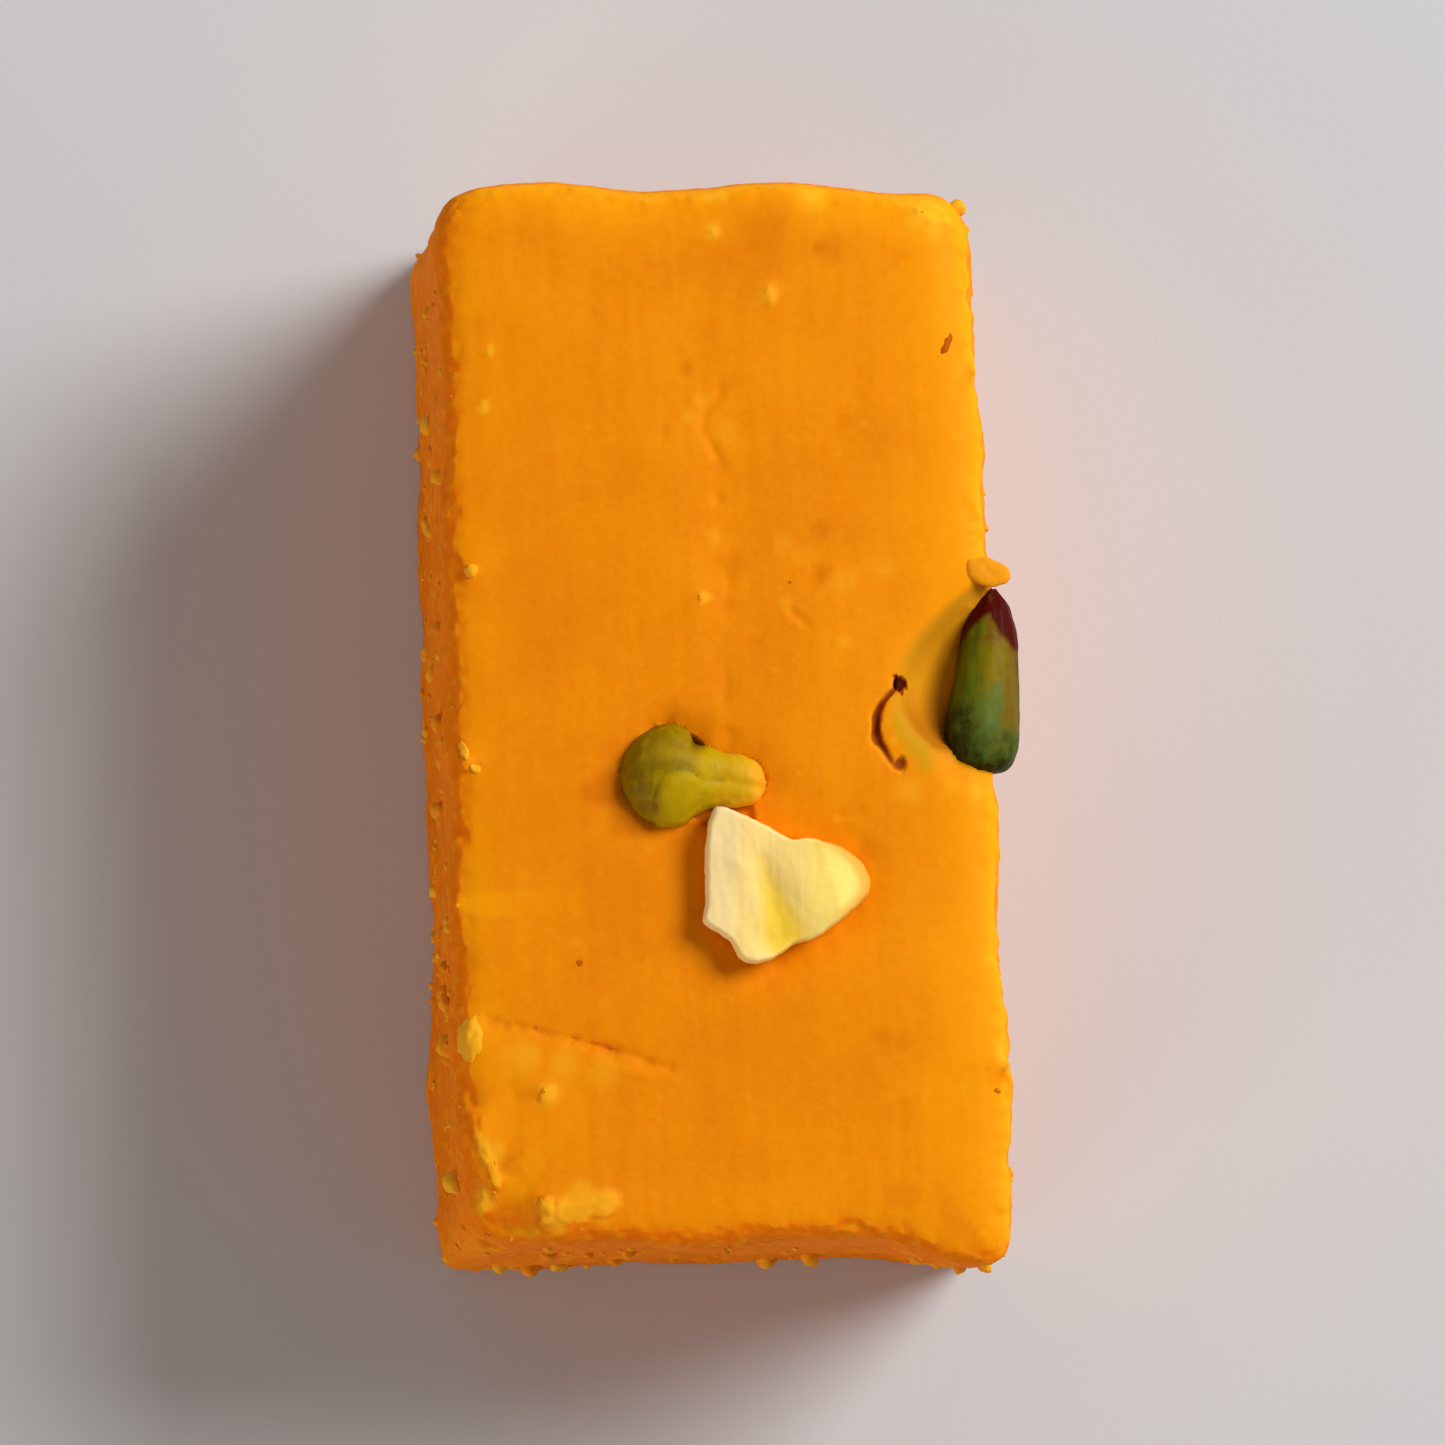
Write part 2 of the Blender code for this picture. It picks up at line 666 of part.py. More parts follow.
def centre_on_foot():
    """Moves everything so that the origin is under the middle of the whole piece."""
    bpy.context.view_layer.update()
    graph = bpy.context.evaluated_depsgraph_get()
    solids = [thing for thing in bpy.context.scene.objects if not thing.hide_render]
    points = [vert.co for solid in solids for vert in solid.evaluated_get(graph).data.vertices]
    whole = bpy.data.objects.new("whole_piece", None)
    for thing in bpy.context.scene.objects:
        thing.parent = whole
    bpy.context.scene.collection.objects.link(whole)
    for axis in range(2):
        places = [point[axis] for point in points]
        whole.location[axis] = -(min(places) + max(places)) / 2


def main():
    clear_scene()
    fudge = make_fudge(make_material("fudge", *FUDGE_FINISH))
    fuse_crumbs(fudge)
    cut_fudge(fudge)
    add_object("pistachio_chip", chip_shape(), make_material("pistachio", *PISTACHIO_FINISH))
    add_object("pistachio_sliver", sliver_shape(), make_material("pistachio_skin", *SLIVER_FINISH))
    add_object("almond_chip", almond_shape(), make_material("almond", *ALMOND_FINISH))
    centre_on_foot()


main()
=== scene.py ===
"""The looks of one cut finger of orange milk fudge with three bits of chopped nut.

Metres, +Z up. +Y runs along the finger and +X across it. The solids give its form. This script adds
the grain of the pressed top, the torn cut faces, the crumbs, the nuts' flesh and skin, and the stage.
"""

import json
import math
import random

import bmesh
import bpy
import numpy as np
from bpy.props import FloatProperty, FloatVectorProperty, IntProperty, PointerProperty
from mathutils import Matrix, Vector, noise
from mathutils.bvhtree import BVHTree
from mathutils.kdtree import KDTree

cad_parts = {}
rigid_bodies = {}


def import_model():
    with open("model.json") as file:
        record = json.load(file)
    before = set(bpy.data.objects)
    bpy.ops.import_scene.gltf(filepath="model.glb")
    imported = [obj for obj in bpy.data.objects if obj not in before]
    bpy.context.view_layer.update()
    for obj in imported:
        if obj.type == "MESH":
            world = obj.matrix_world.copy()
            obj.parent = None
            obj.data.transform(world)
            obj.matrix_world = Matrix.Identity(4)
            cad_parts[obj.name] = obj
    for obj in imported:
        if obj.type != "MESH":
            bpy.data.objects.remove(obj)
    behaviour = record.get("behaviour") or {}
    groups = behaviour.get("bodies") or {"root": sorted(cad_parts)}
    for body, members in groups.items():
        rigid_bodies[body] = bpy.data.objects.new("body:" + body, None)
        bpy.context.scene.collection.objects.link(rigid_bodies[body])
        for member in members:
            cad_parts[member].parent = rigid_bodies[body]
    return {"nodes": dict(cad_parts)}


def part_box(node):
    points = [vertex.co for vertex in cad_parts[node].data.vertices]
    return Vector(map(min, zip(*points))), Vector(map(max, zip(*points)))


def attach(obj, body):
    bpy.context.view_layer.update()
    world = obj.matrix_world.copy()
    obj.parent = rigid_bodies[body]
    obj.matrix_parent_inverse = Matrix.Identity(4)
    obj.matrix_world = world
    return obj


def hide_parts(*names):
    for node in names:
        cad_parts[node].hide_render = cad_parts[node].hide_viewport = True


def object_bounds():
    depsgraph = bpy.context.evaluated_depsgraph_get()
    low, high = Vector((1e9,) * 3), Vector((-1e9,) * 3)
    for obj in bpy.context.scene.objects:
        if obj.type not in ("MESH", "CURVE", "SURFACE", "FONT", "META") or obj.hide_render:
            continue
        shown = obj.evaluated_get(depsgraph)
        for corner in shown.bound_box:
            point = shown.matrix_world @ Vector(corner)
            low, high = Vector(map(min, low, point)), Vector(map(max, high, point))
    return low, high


for leftover in list(bpy.data.objects):
    bpy.data.objects.remove(leftover)
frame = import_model()
SOLID_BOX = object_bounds()

bl_info = {
    "name": "Milk fudge finger",
    "version": (1, 0, 0),
    "blender": (4, 5, 0),
    "location": "3D View > Sidebar > Fudge",
    "description": "Dresses a cut finger of orange milk fudge with its grain, crumbs and chopped nuts",
    "category": "Object",
}

MM = 0.001

# Level of the pressed top, and how near two points are one
TOP = 20.0 * MM
TOUCHING = 0.000001
# Places are in millimetres on a drawing, where the pistachio chip's box has this low corner
DRAWN_CORNER = (-4.0785, -3.9684)
SHIFT = np.array(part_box("pistachio_chip")[0][:2]) / MM - DRAWN_CORNER

# Marks of the pressed top in millimetres: points, half width, and height of the ridge or groove
TOP_LINES = (
    (((-9.7, -11.3), (-8.9, -11.55), (-8.1, -11.7),
      (-7.1, -12.1), (-6.2, -12.3), (-5.0, -12.7)), 0.17, -0.11),
    (((-5.2, -12.6), (-4.4, -12.9), (-3.8, -13.1), (-3.1, -13.35), (-2.5, -13.45)), 0.2, -0.13),
    (((-7.8, -12.15), (-6.2, -12.75), (-5.4, -13.05)), 0.22, 0.05),
    (((-4.9, -13.3), (-4.4, -13.5), (-3.2, -13.85), (-2.4, -14.0)), 0.24, 0.08),
    (((0.76, 13.4), (0.43, 13.0), (-0.28, 12.2), (-0.36, 11.6), (-0.19, 11.2), (0.39, 10.2)), 0.19, -0.09),
    (((-0.7, 13.1), (-0.95, 12.1), (-0.8, 11.2)), 0.26, 0.05),
    (((0.15, 8.9), (0.07, 8.0), (0.45, 6.6), (0.42, 5.2), (0.3, 4.3)), 0.26, -0.06),
    (((-0.15, 7.5), (-0.05, 6.6)), 0.22, 0.04), (((0.25, 2.0), (0.19, 0.6)), 0.22, -0.04),
    (((-1.02, 18.8), (-1.1, 17.0)), 0.18, -0.035), (((-1.0, 14.2), (-0.9, 13.7)), 0.24, -0.07),
    (((-1.75, 12.0), (-1.95, 11.3)), 0.22, -0.05), (((2.85, 4.35), (3.55, 3.7)), 0.16, -0.11),
    (((2.6, 4.05), (3.65, 3.2)), 0.17, 0.06), (((4.75, 3.0), (5.1, 2.8)), 0.22, 0.05),
    (((4.5, -3.8), (5.0, -3.72), (5.5, -3.62)), 0.16, -0.11),
    (((6.4, -12.4), (6.55, -15.0), (6.45, -18.9)), 0.4, -0.025), (((5.7, -12.4), (5.9, -13.3)), 0.26, -0.03),
    (((-8.9, -16.4), (-8.9, -17.4), (-8.5, -18.0)), 0.35, -0.05),
    (((-8.5, -14.3), (-7.9, -14.4)), 0.3, -0.06),
)
# Paler stretches of the top in millimetres: x, y, reach and strength. Those along the far rim and just below
# the hollow are painted highlights
PALE_SPOTS_AND_HIGHLIGHTS = (
    (-8.4, -12.95, 1.1, 0.4), (-6.6, -13.2, 0.9, 0.3), (-5.1, -13.6, 0.9, 0.28), (-7.35, -14.35, 0.6, 0.6),
    (-9.8, -16.6, 0.8, 0.6), (-10.1, -18.3, 0.8, 0.6), (-7.4, -19.0, 1.0, 0.75), (-6.3, -18.3, 0.9, 0.55),
    (-5.3, -18.7, 0.9, 0.65), (-8.2, -20.0, 1.2, 0.4), (2.7, 7.0, 0.6, 0.22), (3.5, 6.4, 0.6, 0.25),
    (4.95, 5.4, 0.9, 0.28), (6.55, 5.9, 0.7, 0.3), (2.8, 4.6, 0.6, 0.25), (4.85, 2.95, 0.5, 0.25),
    (-0.4, 12.8, 0.5, 0.35), (-0.9, 12.1, 0.45, 0.3), (0.6, 11.4, 0.6, 0.18), (-0.1, 7.2, 0.5, 0.25),
    (8.9, 19.9, 1.2, 0.8), (8.2, 20.6, 0.9, 0.6), (0.5, 21.2, 0.8, 0.7), (4.4, 21.1, 1.0, 0.55),
    (-2.2, 21.0, 0.7, 0.4), (0.3, 19.4, 0.6, 0.35), (2.45, 16.85, 0.7, 0.4), (7.2, -3.0, 0.8, 0.35),
    (10.9, 5.5, 0.8, 0.85), (10.7, -13.4, 0.7, 0.6), (4.6, -20.6, 0.7, 0.5), (8.95, -2.75, 0.45, 0.25),
    (9.75, -3.02, 0.5, 0.4), (10.55, -3.05, 0.45, 0.35), (10.25, 5.35, 0.6, 0.5), (6.66, -0.15, 0.28, 0.4),
    (6.8, -0.9, 0.3, 0.45), (7.12, -1.5, 0.28, 0.35),
)
# Darker stretches of the top, in the same way. The last three are painted shadow around the pistachio chip
DARK_SPOTS_AND_SHADOW = (
    (2.2, 19.3, 2.4, 0.5), (4.55, 18.7, 0.5, 0.95), (4.9, 18.5, 0.9, 0.45), (0.55, 6.3, 0.8, 0.5),
    (0.35, 4.6, 0.6, 0.35), (1.4, 3.05, 0.5, 0.35), (0.7, 13.3, 0.6, 0.5), (0.0, 15.6, 0.6, 0.3),
    (-0.95, 14.0, 0.55, 0.45), (-1.9, 11.6, 0.5, 0.35), (-4.4, 16.4, 0.5, 0.3), (-9.0, 16.0, 0.6, 0.35),
    (0.4, 10.1, 0.5, 0.4), (5.3, 11.7, 0.5, 0.4), (4.1, 5.8, 0.6, 0.95), (4.15, 7.55, 0.45, 0.8),
    (5.9, -12.65, 0.6, 0.5), (6.5, -12.8, 0.5, 0.45), (6.5, -15.5, 0.9, 0.25), (6.45, -18.7, 0.9, 0.45),
    (-4.9, -18.1, 0.35, 0.6), (-6.7, -3.0, 3.4, 0.4), (-4.4, -7.0, 3.2, 0.4), (-6.4, 5.0, 4.2, 0.22),
    (1.0, -12.2, 2.8, 0.25), (-5.5, 12.0, 4.5, 0.15), (-9.95, -14.4, 0.5, 0.5), (-8.1, -14.4, 0.5, 0.4),
    (-9.0, -17.0, 0.6, 0.7), (-8.1, -18.5, 0.5, 0.8), (-9.3, -11.5, 0.35, 0.5), (-8.8, -11.62, 0.35, 0.6),
    (-8.3, -11.76, 0.35, 0.6), (-7.4, -11.96, 0.35, 0.4), (-5.0, -12.55, 0.35, 0.5),
    (-4.5, -12.75, 0.35, 0.6), (-3.2, -13.2, 0.3, 0.5), (-2.8, -13.35, 0.3, 0.5), (-5.95, -9.25, 0.35, 0.6),
    (-4.65, -2.4, 1.4, 0.95), (-3.9, -3.75, 1.0, 0.7), (-4.5, -1.0, 0.8, 0.5),
)
# The hollow at the right rim and the crack beside it, as the solid has them, in millimetres
PIT_NEAR = (11.65, -2.91)
PIT_LENGTH = 9.2
PIT_RADIUS = 4.65
PIT_DEPTH = 2.7
PIT_BELLY = 0.43
CRACK_MIDDLE = (7.85, -0.41)
CRACK_RADIUS = 1.8
CRACK_WIDTH = 0.48
CRACK_DEPTH = 0.34
CRACK_HALF_ANGLE = math.radians(66)
# The crack's wider ends: x, y, reach and depth. The flap beside it: place, half width and length, turn
CRACK_ENDS = ((7.03, 1.30, 0.34, 0.55), (6.95, -1.85, 0.36, 0.19))
FLAP = ((7.48, -0.60), (0.72, 1.75), 20)
# The broken near left corner of the top
BROKEN_CORNER = (-9.8, -18.5)
# A rim is clear of the hollow, the crack and the nuts above, above and below these values
PIT_CLEAR = 1.7
CRACK_CLEAR = 1.0
NUT_CLEAR = 0.3
# What stands for a place outside the hollow's or the crack's reach, and for one far from every rim
OUTSIDE = 9.0
FAR_OFF = 99.0
# The rim of the top: how far down it may lie, how far it has to, and between which slopes
RIM_LOWEST = TOP - 2.6 * MM
RIM_HIGHEST = TOP - 0.18 * MM
RIM_SLOPES = (0.2, 0.75)
# Share of a face's size up to which a vertex belongs to the foot
FOOT_SHARE = 0.7
# How far from a rim the faces are split, round by round, in millimetres. How near a nut the fudge may feel
# it, where its pull and its mark fade out, and how far under the nut's surface the fudge is drawn
SPLIT_REACHES = (0.8, 0.25)
NUT_REACH = 1.3 * MM
PULL_FADE = (0.36 * MM, 0.66 * MM)
NEAR_FADE = (0.2 * MM, 1.1 * MM)
NUT_GAP = 0.06 * MM
# Smoothing steps: for the broad form, for the crisp form, beside the nuts, and for what stands out
BROAD_STEPS = 16
CRISP_STEPS = 3
EASE_STEPS = 5
BLOCK_RAISED_STEPS = 8
NUT_RAISED_STEPS = 14

# Flakes and single crumbs on the top in millimetres: x, y, length, width, thickness, turn in degrees,
# and how far below the top one hangs that juts out over the rim
FLAKES = (
    (-10.3, -12.0, 1.95, 0.9, 0.13, 85, 0.0), (-9.67, 6.3, 0.62, 0.56, 0.14, 10, 0.0),
    (-10.2, -0.75, 0.8, 0.34, 0.12, 110, 0.0), (-9.75, -1.5, 0.5, 0.3, 0.08, 150, 0.0),
    (10.7, 5.62, 1.8, 1.05, 0.1, -18, 0.13),
)
# Flakes that are pressed into the top: x, y, length, width, height, turn. The three at the far rim also stand
# for its highlights: painted highlight with a little relief
SOFT_FLAKES = (
    (-9.98, -16.35, 1.6, 0.42, 0.09, 108), (-9.55, -17.35, 1.1, 0.42, 0.09, 105),
    (-10.15, -18.5, 1.3, 0.6, 0.09, 68), (-7.55, -18.95, 1.3, 0.55, 0.11, 85),
    (-6.5, -18.9, 2.2, 1.1, 0.07, 5), (-5.2, -18.7, 0.9, 0.9, 0.08, -20),
    (-7.35, -14.35, 0.85, 0.5, 0.05, 65), (-8.95, 12.7, 0.5, 0.42, 0.05, 100),
    (-8.6, 14.95, 0.42, 0.34, 0.04, 20), (-0.54, 4.95, 0.46, 0.42, 0.05, 15),
    (2.47, 16.87, 0.75, 0.4, 0.05, 105), (0.3, 19.4, 0.65, 0.42, 0.04, 100),
    (8.95, 20.0, 1.7, 0.9, 0.08, -40), (8.3, 20.7, 0.9, 0.5, 0.06, 10), (0.5, 21.2, 0.9, 0.4, 0.05, 4),
)
# A flake's rings from its underside over its edge to its middle: share of its outline, and of its thickness
CHIP_RINGS = (
    (1.05, -0.6), (1.02, -0.1), (0.95, 0.4), (0.84, 0.72), (0.7, 0.92), (0.54, 1.0), (0.38, 1.04),
    (0.22, 1.02), (0.08, 1.0),
)
CHIP_SIDES = 30
# How far a flake may sink below the top; how lumpy the hanging one is, and its tone from flake to fudge
FLAKE_LOWEST = TOP - 1.5 * MM
HANGING_LUMPS = 0.15
HANGING_TONE = 0.6

# Dark specks on the top in millimetres: x, y, length, width and turn in degrees
SPECKS = ((-5.93, -9.27, 0.32, 0.28, 20), (9.42, 14.7, 0.86, 0.32, 62))
LOOSE_SPECKS = 3
# A speck is a lumpy ball of unit width, flattened: length of a loose one, its width's share of that, its
# thickness, lumps, how far it is sunk, and from how far off it is laid on the fudge
SPECK_LENGTHS = (0.10, 0.22)
SPECK_WIDTHS = (0.4, 0.9)
SPECK_THICKNESS = 0.05
SPECK_LUMPS = 0.2
SPECK_SUNK = 0.01 * MM
SPECK_START = 60 * MM
# Crumbs: how many shapes, how far each may be turned and squeezed, and how fast larger sizes get rare. Then
# each kind's name, mask, density setting, least gap and sizes in millimetres, darker share, and seed step
CRUMB_SHAPES = 5
FULL_TURNS = (6.28, 6.28, 6.28)
CRUMB_SQUEEZE = ((0.35, 0.35, 0.30), (0.62, 0.55, 0.50))
CRUMB_POWER = 2.6
CRUMB_KINDS = (
    ("pale_crumbs", "fine_crumbs", "pale_density", 0.20, (0.12, 0.42), 0.75, 0),
    ("torn_crumbs", "torn_crumbs", "torn_density", 0.45, (0.30, 0.90), 1.0, 1),
)
# Seed steps of the specks and of the almond
SPECK_STEP = 2
ALMOND_STEP = 4

# The nuts' places, sizes and profiles in millimetres, as the solids have them
ROUND_NEAR = (-4.08, -1.75)
ROUND_TURN = math.radians(-97)
ROUND_PROFILE = (
    (0.0, 0.0), (0.2, 0.86), (0.8, 1.6), (1.7, 2.03), (2.6, 1.84), (3.2, 1.32), (3.9, 1.08), (4.8, 1.02),
    (5.5, 0.68), (5.8, 0.0),
)
ROUND_HEIGHT_SHARE = 0.80
ROUND_PROUD = 1.4
POINT_NEAR = (10.13, -2.29)
POINT_TURN = math.radians(-6.5)
POINT_PROFILE = (
    (0.0, 0.0), (0.1, 0.74), (0.4, 1.22), (1.0, 1.44), (2.0, 1.47), (3.2, 1.35), (4.4, 1.19), (5.5, 1.04),
    (6.3, 0.8), (6.9, 0.47), (7.3, 0.0),
)
POINT_HEIGHT_SHARE = 1.0
POINT_PROUD = 0.15
ALMOND_OUTLINE = (
    (-0.41, -3.19), (1.1, -3.89), (2.44, -4.74), (3.01, -4.68), (3.65, -4.79), (4.45, -5.06), (5.08, -5.48),
    (5.54, -6.06), (5.6, -6.79), (5.17, -7.34), (4.51, -7.88), (3.68, -8.42), (3.11, -8.72), (2.54, -8.78),
    (2.04, -9.17), (1.38, -9.5), (0.74, -9.6), (0.26, -9.34), (0.04, -8.77), (-0.35, -8.43), (-0.98, -8.01),
    (-1.14, -7.84), (-0.96, -7.28), (-0.95, -6.15), (-0.9, -4.86), (-0.76, -3.9),
)
ALMOND_WALL = ((0.91, 0.0), (0.96, 0.18), (0.99, 0.42), (1.0, 0.68), (0.995, 0.90))
ALMOND_PROUD = 1.3
ALMOND_SUNK = 0.6
ALMOND_VALLEY = ((1.30, -5.65), (2.05, -8.5))
ALMOND_NICKS = 0.018
ALMOND_SHOULDER = 0.06
# The almond's broken faces: how many, the ranges of their middles, their slope, and how softly they meet
ALMOND_FACES = 14
ALMOND_RANGES = ((-1.3, 5.8), (-9.8, -3.0))
ALMOND_SLOPE = 0.09
ALMOND_BLEND = 0.75
# How an outline's corners are cut: shares of the near and the far corner, and how often
CORNER_SHARES = (0.82, 0.18)
CORNER_CUTS = 2
# Fineness of the nuts' meshes
NUT_SIDES = 72
NUT_THINNEST = 0.02
NUT_RINGS = 96
ALMOND_SIDES = 260
ALMOND_RINGS = 44

# Where the camera stood over the finger, and which way was up in the picture; its sensor in millimetres
CAMERA_PLACE = Vector((-0.0202 + SHIFT[0] * MM, -0.0256 + SHIFT[1] * MM, 0.397))
CAMERA_UP = Vector((0.0358, 0.9994, 0.0))
CAMERA_CLIP = (0.01, 10)
SENSOR_WIDTH = 36
# Soft lights in metres: their size, and the place, aim and colour of each
LIGHT_SIZE = 0.30
KEY_LIGHT = (0.36, 0.20, 0.36), (0, 0, 0.015), (1.0, 0.985, 0.96)
FILL_LIGHT = (-0.42, -0.36, 0.15), (0, 0, 0.010), (1.0, 0.84, 0.62)
SKY_COLOUR = (1.0, 0.985, 0.96, 1.0)
FLOOR_SIDES = 96
FLOOR_LIP = 0.004


def linear(red, green, blue):
    """A display colour of 0 to 255 as linear light of 0 to 1."""
    shares = (red / 255, green / 255, blue / 255)
    return tuple(((s + 0.055) / 1.055) ** 2.4 if s > 0.04045 else s / 12.92 for s in shares)


# Colours of small stretches
# Painted shade in the depth of the crack
CRACK_FLOOR_SHADE = linear(70, 16, 2)
CROWN = linear(168, 132, 20)
TONGUE = linear(216, 164, 22)
# Painted shade in the pistachio chip's notch
NOTCH_SHADE = linear(90, 66, 2)
SLIVER_SHADE = linear(28, 36, 3)
SLIVER_NEAR_END = linear(60, 78, 26)
SLIVER_NECK = linear(112, 78, 16)
SLIVER_LEFT = linear(80, 98, 8)
SLIVER_RIGHT = linear(114, 82, 8)
ALMOND_RIGHT = linear(254, 222, 110)
ALMOND_LEFT = linear(255, 227, 170)
ALMOND_THIN = linear(230, 160, 18)
# Painted highlight on the almond's raised edges
ALMOND_EDGE_HIGHLIGHT = linear(255, 238, 184)


# Settings


def colour_setting(name, description, *display):
    """A colour to change, with its default as a display colour of 0 to 255."""
    limits = {"subtype": "COLOR", "min": 0.0, "max": 1.0}
    return FloatVectorProperty(name=name, description=description, default=linear(*display), **limits)


def length_setting(name, description, size, low=0.0):
    """A length to change, with its default and its lowest value in millimetres."""
    limits = {"unit": "LENGTH", "min": low * MM, "precision": 5}
    return FloatProperty(name=name, description=description, default=size * MM, **limits)


def number_setting(name, description, default, low=0.0, **limits):
    return FloatProperty(name=name, description=description, default=default, min=low, **limits)


class FudgeSettings(bpy.types.PropertyGroup):
    """Sizes and colours of the fudge."""

    face_size: length_setting("Face size", "Edge length of the faces that make up the block", 0.245, 0.22)
    torn_relief: length_setting("Torn relief", "Depth of the grain that the knife tore in the sides", 0.20)
    pressed_relief: length_setting("Pressed relief", "Depth of the faint swells and drag lines on top", 0.03)
    burr: length_setting("Burr", "How far the burrs of the cut rims stand out", 0.08)
    body_colour: colour_setting("Fudge", "Colour of most of the fudge", 243, 139, 3)
    # Also painted shade: in recesses, beside the nuts, and the shadow around the pistachio chip
    mottle_and_shade_colour: colour_setting("Deep fudge", "Colour of its darker mottling and hollows", 219, 115, 2)
    # Painted light: the rims that face the lights are painted this lighter colour, which also tints the top's
    # broad random tone
    rim_light_and_tone_colour: colour_setting("Thin fudge", "Colour near the rims, where light shines through", 253, 160, 3)
    # Also painted highlights: on the raised grain of the cut sides, on the sides that face the lights, and
    # along the far rim
    pale_and_highlight_colour: colour_setting("Pale fudge", "Colour of burrs and crumbs", 255, 188, 36)
    flake_colour: colour_setting("Flakes", "Colour of the flakes that lie on the top", 252, 178, 32)
    # Partly painted shade: the rims that face away from the lights take this redder colour sooner, the lit
    # ones later
    cut_and_shade_colour: colour_setting("Cut sides", "Colour that the torn cut sides tend to", 248, 113, 0)
    flap_colour: colour_setting("Flap", "Colour of the thin flap between crack and hollow", 212, 152, 12)
    # The hollow's wall is painted this ochre
    hollow_wall_colour: colour_setting("Hollow wall", "Colour of the hollow that holds the pistachio", 216, 146, 20)
    # Painted shade: the crack and the hollow's shaded end are painted this dark brown
    crack_shade_colour: colour_setting("Crack", "Colour of the crack and of the hollow's shaded end", 146, 62, 8)


class NutSettings(bpy.types.PropertyGroup):
    """Relief and colours of the chopped nuts."""

    relief: length_setting("Nut relief", "Depth of the wrinkles and chips of the nuts", 0.06)
    olive_colour: colour_setting("Pistachio outside", "Colour of the chip's round end", 148, 116, 1)
    flesh_colour: colour_setting("Pistachio flesh", "Colour of the chip's cut lobe and tongue", 188, 156, 4)
    tip_colour: colour_setting("Pistachio tip", "Colour of the tongue's pale tip", 238, 162, 34)
    green_colour: colour_setting("Sliver green", "Colour of the sliver's near half", 88, 106, 36)
    ridge_colour: colour_setting("Sliver ridge", "Colour along the middle of the sliver", 128, 108, 6)
    skin_colour: colour_setting("Sliver skin", "Colour of the skin at the sliver's point", 74, 8, 0)
    cream_colour: colour_setting("Almond", "Colour of the almond chip", 255, 221, 138)
    valley_colour: colour_setting("Almond valley", "Colour of the valley between its lobes", 246, 206, 62)


class CrumbSettings(bpy.types.PropertyGroup):
    """Numbers and sizes of the loose crumbs and specks."""

    pale_density: number_setting("Pale crumbs", "Fine crumbs on a square metre of the crumbliest rim", 0.8e6)
    torn_density: number_setting("Torn crumbs", "Larger crumbs on a square metre of crumbly side", 0.28e6)
    seed: IntProperty(name="Seed", description="Seed of the crumbs' and specks' places", default=5, min=0)
    speck_colour: colour_setting("Specks", "Colour of the tiny bits of nut skin in the fudge", 215, 100, 8)


class StageSettings(bpy.types.PropertyGroup):
    """The floor, the lights and the camera."""

    floor_radius: length_setting("Floor radius", "Radius of the round floor", 800.0, 100.0)
    floor_colour: colour_setting("Floor", "Colour of the floor", 206, 207, 211)
    key_power: number_setting("Key light", "Power of the soft light from the right", 3.16, unit="POWER")
    fill_power: number_setting("Fill light", "Power of the soft light from the left", 1.0, unit="POWER")
    sky_strength: number_setting("Surroundings", "Brightness of the surroundings", 0.24, subtype="FACTOR")
    lens: number_setting("Lens", "Focal length that frames the finger", 240.0, 50.0, unit="CAMERA")


# Meshes


def add_object(name, mesh, material=None):
    if material:
        mesh.materials.clear()
        mesh.materials.append(material)
    thing = bpy.data.objects.new(name, mesh)
    bpy.context.scene.collection.objects.link(thing)
    return thing


def mesh_from(name, bm):
    """The bmesh as a mesh that is shaded smooth, with its faces pointing out."""
    bmesh.ops.recalc_face_normals(bm, faces=bm.faces)
    mesh = bpy.data.meshes.new(name)
    bm.to_mesh(mesh)
    bm.free()
    mesh.shade_smooth()
    return mesh


def evaluated_mesh(thing):
    """What an object's modifiers make of it, as a plain mesh."""
    graph = bpy.context.evaluated_depsgraph_get()
    shown = thing.evaluated_get(graph)
    return bpy.data.meshes.new_from_object(shown, preserve_all_data_layers=True, depsgraph=graph)


def bmesh_of(mesh):
    bm = bmesh.new()
    bm.from_mesh(mesh)
    return bm


def read_rows(items, name, kind=np.float32, width=3):
    """One property of a mesh's vertices, normals or edges, as rows of numbers."""
    values = np.empty(width * len(items), kind)
    items.foreach_get(name, values)
    return values.reshape(-1, width)


def get_points(mesh):
    return read_rows(mesh.vertices, "co").astype(float)


def get_normals(mesh):
    return read_rows(mesh.vertex_normals, "vector").astype(float)


def get_edges(mesh):
    return read_rows(mesh.edges, "vertices", np.int32, 2)


def set_points(mesh, points):
    mesh.vertices.foreach_set("co", points.astype(np.float32).ravel())
    mesh.update()


def set_mask(mesh, name, values):
    """Keeps one number for each vertex, under a name that the materials read."""
    layer = mesh.attributes.get(name) or mesh.attributes.new(name, "FLOAT", "POINT")
    layer.data.foreach_set("value", values.astype(np.float32))


def smooth_step(low, high, values):
    """0 at low, 1 at high and an S-curve between them; low may be the larger."""
    share = np.clip((values - low) / (high - low), 0.0, 1.0)
    return share * share * (3 - 2 * share)


def noise_at(points, size, offset=0.0):
    """Smooth noise of about -1 to 1; size is one length, or one for each axis."""
    return np.array([noise.noise(place) for place in (points / size + offset).tolist()])


def grains_at(points, size):
    """Distance from each point to the middle of the nearest grain, in shares of a grain's size."""
    return np.array([noise.voronoi(place)[0][0] for place in (points / size).tolist()])


def on_drawing(points):
    """The points' places on the drawing, in millimetres."""
    return points[:, :2] / MM - SHIFT


